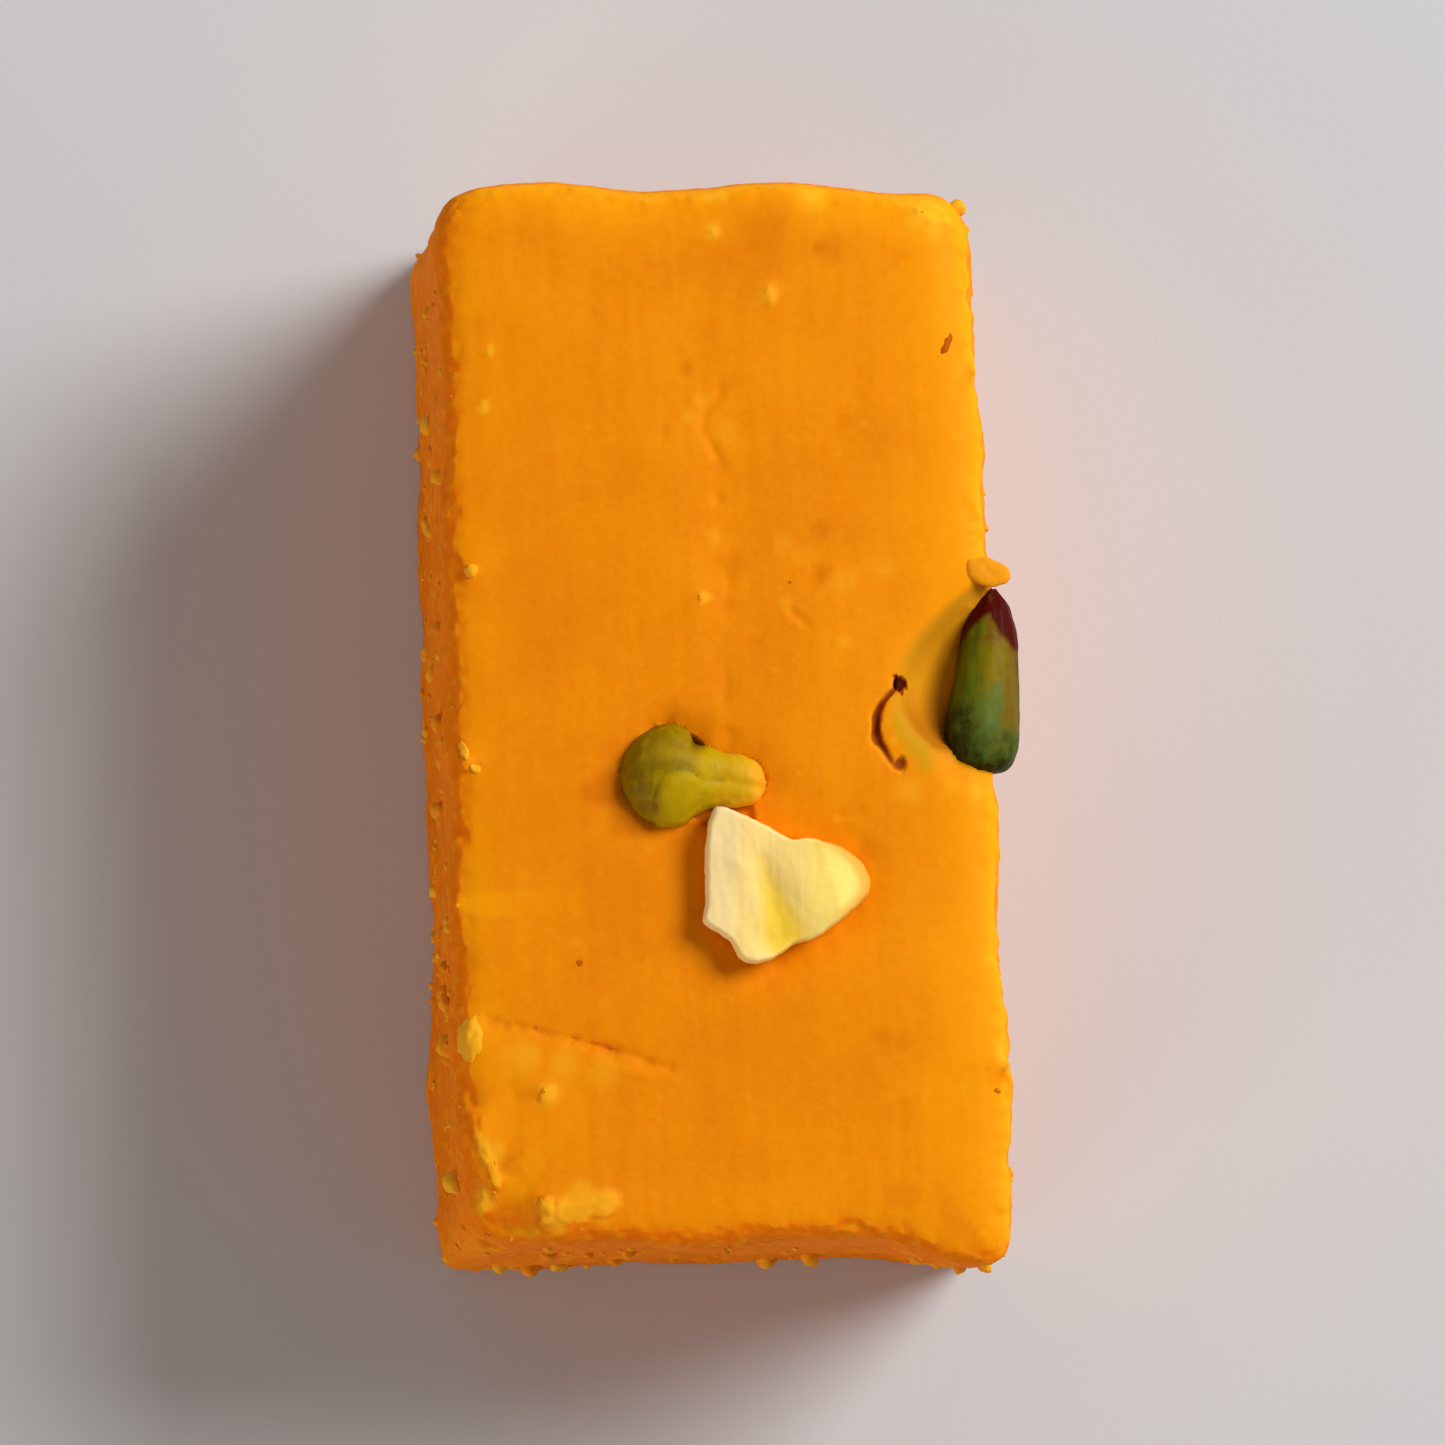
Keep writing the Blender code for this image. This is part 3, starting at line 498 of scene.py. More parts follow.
def beside_line(flat, start, end):
    """How far along a line each place on the drawing lies, from 0 to 1, and how far beside it."""
    start, along = np.array(start), np.subtract(end, start)
    share = np.clip((flat - start) @ along / (along @ along), 0.0, 1.0)
    return share, np.linalg.norm(flat - start - share[:, None] * along, axis=1)


def in_oval(flat, middle, half_size, turn):
    """Distance of each place on the drawing from an oval's middle, 1 on its outline."""
    spin = np.array(Matrix.Rotation(math.radians(turn), 2))
    return np.linalg.norm((flat - middle) @ spin / half_size, axis=1)


def smoothed(points, edges, steps, held=None):
    """The points after some steps half way to their neighbours; a held one follows only held ones."""
    one, other = np.concatenate((edges, edges[:, ::-1])).T
    if held is not None:
        follows = ~held[one] | held[other]
        one, other = one[follows], other[follows]
    count = np.maximum(1, np.bincount(one, minlength=len(points)))[:, None]
    for _ in range(steps):
        total = [np.bincount(one, points[other, axis], len(points)) for axis in range(3)]
        points = 0.5 * points + 0.5 * np.stack(total, axis=1) / count
    return points


def raised(mesh, steps, height):
    """How far each vertex stands above, or lies below, the smoothed surface: -1 to 1."""
    points = get_points(mesh)
    level = smoothed(points, get_edges(mesh), steps)
    out = ((points - level) * get_normals(mesh)).sum(axis=1)
    return np.clip(out / height, -1.0, 1.0)


def tree_of(mesh):
    """A mesh as a tree that answers where its surface is nearest."""
    bm = bmesh_of(mesh)
    tree = BVHTree.FromBMesh(bm)
    bm.free()
    return tree


def loft(bm, loops, ends=(None, None)):
    """Adds faces from loop to loop; each end is closed by one face, or by a fan to a given vertex."""
    for lower, upper in zip(loops, loops[1:]):
        for i in range(len(lower)):
            bm.faces.new((lower[i - 1], lower[i], upper[i], upper[i - 1]))
    for loop, end in zip((loops[0], loops[-1]), ends):
        if end is None:
            bm.faces.new(loop)
            continue
        for i in range(len(loop)):
            bm.faces.new((loop[i - 1], loop[i], end))


# The fudge block


def rebuilt_block(face_size):
    """A copy of the block's solid, merged and rebuilt from even faces, with its foot cut away."""
    bm = bmesh_of(frame["nodes"]["barfi_block"].data)
    bmesh.ops.remove_doubles(bm, verts=bm.verts, dist=TOUCHING)
    bm.transform(Matrix.Scale(1 / MM, 4))
    rough = add_object("rough_block", mesh_from("rough_block", bm))
    remesh = rough.modifiers.new("rebuild", "REMESH")
    remesh.mode = "VOXEL"
    remesh.voxel_size = face_size / MM
    mesh = evaluated_mesh(rough)
    bpy.data.objects.remove(rough)
    bm = bmesh_of(mesh)
    bm.transform(Matrix.Scale(MM, 4))
    for vert in bm.verts:
        if vert.co.z < FOOT_SHARE * face_size:
            vert.co.z = 0.0
    foot = [face for face in bm.faces if all(vert.co.z == 0.0 for vert in face.verts)]
    bmesh.ops.delete(bm, geom=foot, context="FACES")
    return mesh_from("fudge_block", bm)


def close_foot(mesh):
    """Closes the open foot with one flat face."""
    bm = bmesh_of(mesh)
    rim = [edge for edge in bm.edges if edge.is_boundary]
    made = bmesh.ops.holes_fill(bm, edges=rim, sides=0)["faces"]
    if len(made) != 1 or any(edge.is_boundary for edge in bm.edges):
        raise RuntimeError("the block's foot isn't one closed face")
    made[0].smooth = False
    bm.to_mesh(mesh)
    bm.free()


def evened(points, edges, foot):
    """Takes the solid's facets out of the broad faces, and keeps its rims, crumbs and hollows."""
    broad = smoothed(points, edges, BROAD_STEPS, foot)
    crisp = smoothed(points, edges, CRISP_STEPS, foot)
    apart = np.linalg.norm(crisp - broad, axis=1)
    keep = smooth_step(0.07 * MM, 0.20 * MM, apart)[:, None]
    return smoothed(broad + keep * (crisp - broad), edges, 1, foot)


def refined(mesh, wanted):
    """Splits in four the faces whose vertices are all wanted."""
    bm = bmesh_of(mesh)
    bm.verts.ensure_lookup_table()
    edges = [edge for edge in bm.edges if all(wanted[vert.index] for vert in edge.verts)]
    bmesh.ops.subdivide_edges(bm, edges=edges, cuts=1, use_grid_fill=True)
    bmesh.ops.triangulate(bm, faces=[face for face in bm.faces if len(face.verts) > 4])
    bm.to_mesh(mesh)
    bm.free()


def line_relief(points):
    """Height of the ridges and grooves of the pressed top at each point, and how near a line is."""
    height, near = np.zeros(len(points)), np.full(len(points), np.inf)
    flat = on_drawing(points)
    waver = np.clip(0.9 + 1.3 * noise_at(points, 0.55 * MM, 6.1), 0.15, 2.0)
    for line, half_width, rise in TOP_LINES:
        nearest = np.min([beside_line(flat, *ends)[1] for ends in zip(line, line[1:])], axis=0)
        stands = 0.35 if rise > 0 else 0.70
        height += stands * rise * MM * waver * np.exp(-(nearest / half_width) ** 2)
        near = np.minimum(near, nearest - half_width)
    return height, near


def spot_mask(points, spots, ragged):
    """Strength of the nearest spot at each point, with ragged outlines."""
    mask = np.zeros(len(points))
    flat = on_drawing(points)
    for x, y, reach, strength in spots:
        away = np.linalg.norm(flat - (x, y), axis=1) / reach + 0.45 * ragged
        mask = np.maximum(mask, strength * smooth_step(1.0, 0.25, away))
    return mask


def soft_flakes(points):
    """How high the flakes that are pressed into the top stand at each point, and their mask."""
    height, mask = np.zeros(len(points)), np.zeros(len(points))
    flat = on_drawing(points)
    ragged = noise_at(points, 0.42 * MM, 41.0)
    grain = noise_at(points, 0.30 * MM, 43.0)
    for x, y, length, width, rise, turn in SOFT_FLAKES:
        away = in_oval(flat, (x, y), (0.5 * length, 0.5 * width), turn)
        share = smooth_step(1.25, 0.65, away + 0.40 * ragged)
        height = np.maximum(height, rise * share * (1 + 0.7 * grain))
        mask = np.maximum(mask, share)
    return height * MM, mask


def block_relief(points, normals, away, settings):
    """How far each point of the block moves out along its normal; away is its distance to a rim."""
    up = normals[:, 2]
    below = (TOP - points[:, 2]) / MM
    side = smooth_step(0.72, 0.25, up)
    far = smooth_step(0.5, 0.9, normals[:, 1])
    rough = smooth_step(0.0, 0.5, noise_at(points, 5.2 * MM))
    rough = np.maximum(rough, 0.5 * smooth_step(2.8, 0.6, below + noise_at(points, 1.6 * MM, 8.8)))
    rough = np.maximum(rough, 0.6 * smooth_step(2.2, 0.4, points[:, 2] / MM))
    rough = np.maximum(rough, 0.35)
    lumps = 0.62 - grains_at(points, 1.15 * MM)
    swell = noise_at(points, 3.4 * MM, 11.3)
    fine = noise_at(points, 0.55 * MM, 4.1)
    knife = noise_at(points, np.array((0.5, 0.5, 7.0)) * MM, 2.7)
    sparse = smooth_step(0.05, 0.45, noise_at(points, 2.8 * MM, 31.0))
    holes = smooth_step(0.34, 0.10, grains_at(points + 0.4, 1.9 * MM)) * sparse
    stuck = smooth_step(0.36, 0.08, grains_at(points + 0.7, 1.6 * MM)) * smooth_step(0.1, 0.5, -swell)
    torn = 0.60 * swell + 0.24 * knife * (1 - rough) + (0.12 + 0.26 * rough) * fine
    torn += 1.0 * rough * lumps + 0.7 * stuck - 1.35 * holes * smooth_step(0.6, 1.6, below)
    swells = noise_at(points, 3.2 * MM, 7.7)
    drag = noise_at(points, np.array((0.5, 7.5, 7.5)) * MM, 5.2)
    pores = smooth_step(0.22, 0.06, grains_at(points + 0.9, 1.45 * MM)) * smooth_step(-0.1, 0.4, swells)
    pressed = 0.9 * swells + 0.35 * drag + 0.30 * fine - 0.9 * pores
    edge = smooth_step(0.85, 0.15, away) * (1 - 0.6 * far)
    bites = smooth_step(0.15, 0.60, noise_at(points, 1.15 * MM, 9.4))
    nibbles = noise_at(points, 0.45 * MM, 17.0)
    height = settings.torn_relief * side * (1 - 0.7 * far) * torn
    height += settings.pressed_relief * (1 - side) * pressed
    return height + settings.burr * edge * (0.6 * nibbles - 1.2 * bites + 0.3)


def pit_level(points):
    """The points by the hollow's turned shape: 1 on its wall, less within and more outside it."""
    x, y = on_drawing(points).T
    share = np.clip((y - PIT_NEAR[1]) / PIT_LENGTH, 0.001, 0.999)
    radius = PIT_RADIUS * np.sin(np.pi * share ** (math.log(0.5) / math.log(PIT_BELLY))) + 0.001
    down = (TOP - points[:, 2]) / MM / (PIT_DEPTH / PIT_RADIUS * radius)
    level = ((x - PIT_NEAR[0]) / radius) ** 2 + down ** 2
    inside = (y > PIT_NEAR[1]) & (y < PIT_NEAR[1] + PIT_LENGTH)
    return np.where(inside, level, OUTSIDE)


def crack_depth(points):
    """How deep the crack is below the top at each point, 0 outside it, and how far away it is."""
    flat = on_drawing(points)
    away = flat - CRACK_MIDDLE
    radius = np.linalg.norm(away, axis=1)
    angle = np.abs(np.arctan2(away[:, 1], -away[:, 0]))
    opened = np.cos(0.5 * np.pi * np.clip(angle / CRACK_HALF_ANGLE, 0.0, 1.0))
    waver = 0.12 * noise_at(points, 0.8 * MM, 15.0)
    half = 0.5 * CRACK_WIDTH * (0.50 + 0.50 * opened) * (1 + 0.5 * noise_at(points, 0.5 * MM, 12.0))
    off = np.where(angle < CRACK_HALF_ANGLE, np.abs(radius - CRACK_RADIUS - waver), OUTSIDE)
    torn = smooth_step(-0.85, -0.30, noise_at(points, 0.9 * MM, 19.0))
    depth = CRACK_DEPTH * (0.5 + 0.5 * opened) * torn * np.sqrt(np.clip(1 - off / half, 0.0, 1.0))
    depth *= 0.62 + 0.38 * smooth_step(-1.7, -0.3, flat[:, 1])
    for x, y, reach, low in CRACK_ENDS:
        end = np.linalg.norm(flat - (x, y), axis=1) * (1 + 0.5 * noise_at(points, 0.3 * MM, 16.0))
        depth = np.maximum(depth, low * np.sqrt(np.clip(1 - (end / reach) ** 2, 0.0, 1.0)))
        off = np.minimum(off, end)
    high = points[:, 2] > TOP - 3 * MM
    return np.where(high, depth * MM, 0.0), np.where(high, off, OUTSIDE)


def close_on_nuts(points):
    """Draws the walls of the pockets onto the nuts, and gives how near each point is to a nut."""
    near = np.zeros(len(points))
    for name in ("pistachio_round", "pistachio_point", "almond_piece"):
        mesh = bpy.data.objects[name].data
        tree, corners = tree_of(mesh), get_points(mesh)
        low, high = corners.min(axis=0) - NUT_REACH, corners.max(axis=0) + NUT_REACH
        around = np.all((points > low) & (points < high), axis=1)
        for index in np.nonzero(around)[0]:
            place = Vector(points[index])
            found, normal, _, distance = tree.find_nearest(place, NUT_REACH)
            if found is None:
                continue
            inside = (place - found).dot(normal) < 0
            pull = 1.0 if inside else 1.0 - smooth_step(*PULL_FADE, distance)
            points[index] = place.lerp(found - NUT_GAP * normal, float(pull))
            near[index] = max(near[index], 1.0 - smooth_step(*NEAR_FADE, distance))
    return near


def rim_of(points, normals, clear):
    """How far each point is from the nearest rim of the top, in millimetres, and which way that rim faces."""
    up, z = normals[:, 2], points[:, 2]
    high = z > RIM_LOWEST
    steepest, flattest = RIM_SLOPES
    rim = np.nonzero(high & clear & (up > steepest) & (up < flattest) & (z < RIM_HIGHEST))[0]
    tree = KDTree(len(rim))
    for index in rim.tolist():
        tree.insert(points[index], index)
    tree.balance()
    away, facing = np.full(len(points), FAR_OFF), np.zeros((len(points), 2))
    for index in np.nonzero(high)[0].tolist():
        _, nearest, distance = tree.find(points[index])
        away[index] = distance / MM
        facing[index] = normals[nearest, :2]
    return away, facing / np.maximum(0.001, np.linalg.norm(facing, axis=1))[:, None]


def mark_block(mesh, near):
    """Gives the block's mesh the masks that its material and its crumbs read."""
    points, normals = get_points(mesh), get_normals(mesh)
    up, z, flat = normals[:, 2], points[:, 2], on_drawing(points)
    ragged = noise_at(points, 0.8 * MM, 3.3)
    broad = noise_at(points, 2.4 * MM, 14.0)
    level = pit_level(points)
    pit = smooth_step(1.35, 1.05, level) * smooth_step(TOP, TOP - 0.3 * MM, z)
    depth, off = crack_depth(points)
    # Painted shade: the crack is painted dark, darkest in its depth
    crack = 0.8 * smooth_step(0.02 * MM, 0.22 * MM, depth) + 0.2 * smooth_step(0.26 * MM, 0.42 * MM, depth)
    flap = smooth_step(1.20, 0.60, in_oval(flat, *FLAP) + 0.30 * ragged) * (z > TOP - 2.0 * MM)
    clear = (level > PIT_CLEAR) & (off > CRACK_CLEAR) & (near < NUT_CLEAR)
    away, facing = rim_of(points, normals, clear)
    right, far = np.maximum(0.0, facing).T
    left, close = np.maximum(0.0, -facing).T
    shaded = np.clip(left + close, 0.0, 1.0)
    lit = np.clip(right + far, 0.0, 1.0) * smooth_step(TOP - 1.1 * MM, TOP - 0.5 * MM, z)
    # Painted shade: the cut colour reaches sooner onto the rims that face away from the lights, and later
    # onto the lit ones
    cut = smooth_step(0.9 - 0.85 * lit, 0.5 - 0.7 * lit, up) * (1 - pit)
    spread = away + 1.1 * broad + 0.5 * ragged
    # Painted light: a lighter band along the rims, strongest on those that face right and far toward the
    # lights, and taken off where a rim is shaded
    sun = 0.85 * right * smooth_step(4.6, 0.3, spread) + 0.75 * far * smooth_step(2.4, 0.1, spread)
    sun += 0.25 * left * smooth_step(1.8, 0.3, spread) + 0.20 * close * smooth_step(1.6, 0.1, spread)
    thin = smooth_step(0.34, 0.10, away + 0.10 * broad + 0.10 * ragged)
    patchy = smooth_step(-0.30, 0.40, noise_at(points, 1.7 * MM, 23.0) + 0.2 * right - 0.3 * left)
    sun += 0.45 * thin * patchy * (1 - shaded)
    sun *= 1 - 0.95 * smooth_step(0.80 - 0.7 * lit, 0.35 - 0.5 * lit, up)
    sun *= 1 - shaded * smooth_step(0.99, 0.90, up)
    # Painted shade: the rounding of the shaded rims takes the cut colour
    cut = np.maximum(cut, shaded * smooth_step(0.985, 0.80, up) * (1 - pit))
    out = raised(mesh, BLOCK_RAISED_STEPS, 0.07 * MM)
    top = smooth_step(TOP - 1.4 * MM, TOP - 0.6 * MM, z) * smooth_step(0.35, 0.7, up)
    pale = top * np.maximum(spot_mask(points, PALE_SPOTS_AND_HIGHLIGHTS, ragged), 0.70 * soft_flakes(points)[1])
    # Painted highlight: what stands out on the cut sides is painted paler
    pale = pale + 0.40 * np.maximum(0.0, out) * cut
    # Painted light: the sides that face right or far, toward the lights, are painted paler
    painted_light_sides = smooth_step(0.5, 0.9, np.maximum(normals[:, 0], normals[:, 1]))
    pale = np.maximum(pale, 0.25 * painted_light_sides * (1 - pit))
    # Painted shade: the top beside the pistachio chip and the almond is painted darker
    painted_contact_shade = 0.20 * near * smooth_step(0.3, 0.8, up) * smooth_step(8.0, 6.5, flat[:, 0])
    # Painted shade: what lies sunk, mostly on the cut sides, is painted darker
    sunk = 0.8 * np.maximum(0.0, -out) * np.maximum(cut, 0.3)
    # Darker spots and stains, with painted shade in recesses, beside the nuts and around the pistachio chip
    deep = np.maximum(top * spot_mask(points, DARK_SPOTS_AND_SHADOW, ragged), sunk)
    masks = {"pale": pale * (1 - flap), "deep": np.maximum(deep, painted_contact_shade), "sun": sun * (1 - pit), "cut": cut}
    # Painted shade at the hollow's near end, laid with the crack's colour
    shade = 0.42 * pit * smooth_step(2.2, -0.6, flat[:, 1]) * smooth_step(-1.9, -1.2, flat[:, 1])
    flap *= smooth_step(0.95, 1.12, level)
    masks.update({"pit": pit * (1 - flap), "crack": np.maximum(crack, shade), "flap": flap})
    back = smooth_step(0.5, 0.9, normals[:, 1])
    patches = smooth_step(0.05, 0.45, noise_at(points, 3.4 * MM, 21.0))
    loose = (1 - pit) * (1 - near) * (z > 0.5 * MM) * (1 - 0.85 * back) * (off > 0.9) * (level > 1.5)
    rim = smooth_step(0.6, 0.1, away)
    corner = smooth_step(4.0, 1.0, np.linalg.norm(flat - BROKEN_CORNER, axis=1))
    steep = smooth_step(0.9, 0.5, up)
    masks["fine_crumbs"] = loose * (0.15 * rim * patches + steep * (0.04 + 0.35 * patches) + 0.08 * corner)
    masks["torn_crumbs"] = loose * steep * (0.12 + patches) * (up < 0.6) * (z < TOP - 1.5 * MM)
    for name, values in masks.items():
        set_mask(mesh, name, np.clip(values, 0.0, 1.0))


def make_block(settings):
    mesh = rebuilt_block(settings.face_size)
    points = get_points(mesh)
    set_points(mesh, evened(points, get_edges(mesh), points[:, 2] == 0.0))
    for reach in SPLIT_REACHES:
        points, normals = get_points(mesh), get_normals(mesh)
        off = crack_depth(points)[1]
        line = line_relief(points)[1]
        on_top = (normals[:, 2] > 0.8) & (points[:, 2] > TOP - 1.0 * MM)
        clear = (pit_level(points) > PIT_CLEAR) & (off > CRACK_CLEAR)
        away = rim_of(points, normals, clear)[0]
        fine = (on_top & ((line < 0.5 * reach) | (soft_flakes(points)[1] > 0.0))) | (away < reach)
        refined(mesh, (off < 0.3 + 0.5 * reach) | (fine & (reach > 0.5)))
    points, normals = get_points(mesh), get_normals(mesh)
    foot = points[:, 2] == 0.0
    level = pit_level(points)
    clear = (level > PIT_CLEAR) & (crack_depth(points)[1] > CRACK_CLEAR)
    away = rim_of(points, normals, clear)[0]
    height = block_relief(points, normals, away, settings)
    pressed = smooth_step(0.5, 0.85, normals[:, 2]) * (points[:, 2] > TOP - 1.4 * MM)
    lines = (line_relief(points)[0] + soft_flakes(points)[0]) * pressed
    moved = points + normals * (height * (1 - 0.85 * smooth_step(1.6, 1.1, level)) + lines)[:, None]
    depth, off = crack_depth(moved)
    beside = (off < 0.8) & (level > 1.5) & (depth == 0.0)
    rest = np.where(beside, np.maximum(moved[:, 2], TOP - 0.12 * MM), moved[:, 2])
    moved[:, 2] = np.where((depth > 0.0) & (level > 1.05), TOP - depth, rest)
    near = close_on_nuts(moved)
    eased = smoothed(moved, get_edges(mesh), EASE_STEPS)
    around = (near > 0.01) & (near < 0.88) & (level > 1.3)
    moved = np.where(around[:, None], eased, moved)
    moved[foot, 2] = 0.0
    set_points(mesh, moved)
    mark_block(mesh, near)
    close_foot(mesh)
    return mesh


# Nodes

# What a random value may be, in the order of its sockets
RANDOM_KINDS = ("FLOAT_VECTOR", "FLOAT", "INT")


class Nodes:
    """Adds nodes to one tree, and gives their outputs."""

    def __init__(self, tree):
        self.tree = tree

    def put(self, kind, inputs=None, **settings):
        """A new node's outputs. An input that is given another node's output is linked to it."""
        node = self.tree.nodes.new(kind)
        for name, value in settings.items():
            setattr(node, name, value)
        for key, value in (inputs or {}).items():
            sources = value if isinstance(value, list) else [value]
            if isinstance(sources[0], bpy.types.NodeSocket):
                for source in sources:
                    self.tree.links.new(source, node.inputs[key])
            else:
                node.inputs[key].default_value = value
        return node.outputs

    def open_sockets(self, direction, sockets):
        for label, kind in sockets:
            self.tree.interface.new_socket(label, in_out=direction, socket_type=f"NodeSocket{kind}")

    def math(self, operation, *values):
        return self.put("ShaderNodeMath", dict(enumerate(values)), operation=operation)[0]

    def times(self, one, other):
        return self.math("MULTIPLY", one, other)

    def plus(self, one, other):
        return self.math("ADD", one, other)

    def scaled(self, vector, factor):
        return self.put("ShaderNodeVectorMath", {0: vector, "Scale": factor}, operation="SCALE")[0]

    def ramp(self, value, low, high, to_low=0.0, to_high=1.0):
        """An S-curve from one value at low to another at high."""
        inputs = {"Value": value, "From Min": low, "From Max": high, "To Min": to_low, "To Max": to_high}
        return self.put("ShaderNodeMapRange", inputs, interpolation_type="SMOOTHSTEP")[0]

    def random(self, kind, low, high, seed):
        """A random value for each instance."""
        index = RANDOM_KINDS.index(kind)
        inputs = {2 * index: low, 2 * index + 1: high, "Seed": seed}
        return self.put("FunctionNodeRandomValue", inputs, data_type=kind)[index]

    def mask(self, name):
        return self.put("ShaderNodeAttribute", attribute_name=name)["Fac"]

    def place(self, stretch=None):
        """The piece's own coordinates, which may be stretched."""
        own = self.put("ShaderNodeTexCoord")["Object"]
        return self.put("ShaderNodeMapping", {"Vector": own, "Scale": stretch})[0] if stretch else own

    def noise(self, size, detail=2.0, roughness=0.5, stretch=None):
        """Noise on the piece's own coordinates; its size in metres may come from a socket."""
        scale = self.math("DIVIDE", 1.0, size)
        inputs = {"Vector": self.place(stretch), "Scale": scale, "Detail": detail, "Roughness": roughness}
        return self.put("ShaderNodeTexNoise", inputs)[0]


# Flakes, crumbs and specks


def add_chip(bm, tree, place, size, turn, hang, draw):
    """Adds one ragged flat bit that lies on the fudge, with a lumpy top."""
    x, y, length, width, thickness = (*place, *size)
    lumps = HANGING_LUMPS if hang else 1.0
    phase = draw.uniform(0, 9)
    spin = Matrix.Rotation(math.radians(turn), 2)
    loops = []
    for share, rise in CHIP_RINGS:
        loop = []
        for side in range(CHIP_SIDES):
            angle = 2 * math.pi * side / CHIP_SIDES
            edge = Vector((math.cos(angle), math.sin(angle)))
            wobble = 0.24 * noise.noise((*(1.3 * edge), phase))
            wobble += 0.20 * noise.noise((*(3.4 * edge), phase + 4))
            reach = share * (1 + share * wobble * (0.4 + 0.6 * lumps))
            flat = spin @ Vector((0.5 * length * edge.x, 0.5 * width * edge.y)) * reach
            above = Vector((x + flat.x, y + flat.y, TOP / MM + 6)) * MM
            found = tree.ray_cast(above, Vector((0, 0, -1)))[0]
            ground = TOP - hang * MM if hang else max(found.z if found else 0.0, FLAKE_LOWEST)
            bump = 1 + 0.55 * lumps * noise.noise((above.x / MM * 3.2, above.y / MM * 3.2, phase))
            loop.append(bm.verts.new((above.x, above.y, ground + thickness * MM * rise * bump)))
        loops.append(loop)
    loft(bm, loops)


def make_flakes(block, draw):
    bm = bmesh.new()
    tree = tree_of(block)
    tones = []
    for x, y, length, width, thickness, turn, hang in FLAKES:
        add_chip(bm, tree, (x + SHIFT[0], y + SHIFT[1]), (length, width, thickness), turn, hang, draw)
        tones += [HANGING_TONE if hang else 0.0] * (len(bm.verts) - len(tones))
    mesh = mesh_from("pale_flakes", bm)
    set_mask(mesh, "tone", np.array(tones))
    points = get_points(mesh)
    grain = 0.04 * MM * noise_at(points, 0.30 * MM) * (1 - np.array(tones))
    set_points(mesh, points + get_normals(mesh) * grain[:, None])
    return mesh


def make_specks(block, draw):
    """Tiny dark bits in the top where they are known, and a few more over the whole surface."""
    bm = bmesh.new()
    tree = tree_of(block)
    low, high = SOLID_BOX
    middle = (low + high) / 2
    down = Vector((0, 0, -1))
    spots = []
    for x, y, *rest in SPECKS:
        spots.append((Vector(((x + SHIFT[0]) * MM, (y + SHIFT[1]) * MM, 2 * TOP)), down, *rest))
    for _ in range(LOOSE_SPECKS):
        away = Vector(draw.gauss(0, 1) for _ in range(3)).normalized()
        away.z = abs(away.z)
        target = Vector((0, draw.uniform(0.8 * low.y, 0.8 * high.y), middle.z))
        length = draw.uniform(*SPECK_LENGTHS)
        width = length * draw.uniform(*SPECK_WIDTHS)
        spots.append((target + SPECK_START * away, -away, length, width, draw.uniform(0, 180)))
    for start, aim, length, width, turn in spots:
        place, normal, _, _ = tree.ray_cast(start, aim)
        if place is None:
            continue
        made = bmesh.ops.create_icosphere(bm, subdivisions=2, radius=0.5 * MM)["verts"]
        for vert in made:
            vert.co *= 1 + draw.uniform(-SPECK_LUMPS, SPECK_LUMPS)
        flatten = Matrix.Diagonal((length, width, SPECK_THICKNESS, 1))
        lay = Vector((0, 0, 1)).rotation_difference(normal).to_matrix().to_4x4()
        lie = Matrix.Rotation(math.radians(turn), 4, "Z")
        sunk = Matrix.Translation(place - SPECK_SUNK * normal)
        bmesh.ops.transform(bm, matrix=sunk @ lay @ lie @ flatten, verts=made)
    return mesh_from("skin_specks", bm)


def crumb_shapes(nodes):
    """A few rough lumps, as instances to pick from."""
    where = nodes.put("GeometryNodeInputPosition")[0]
    lumps = []
    for shape in range(CRUMB_SHAPES):
        ball = nodes.put("GeometryNodeMeshIcoSphere", {"Radius": 1.0, "Subdivisions": 2})["Mesh"]
        inputs = {"Vector": where, "W": 3.1 * shape, "Scale": 0.9, "Detail": 2.0}
        ripple = nodes.put("ShaderNodeTexNoise", inputs, noise_dimensions="4D")[0]
        push = nodes.put("ShaderNodeMapRange", {"Value": ripple, "To Min": -1.15, "To Max": 1.15})[0]
        inputs = {"Geometry": ball, "Offset": nodes.scaled(where, push)}
        lumps.append(nodes.put("GeometryNodeSetPosition", inputs)[0])
    return nodes.put("GeometryNodeGeometryToInstance", {0: lumps})[0]


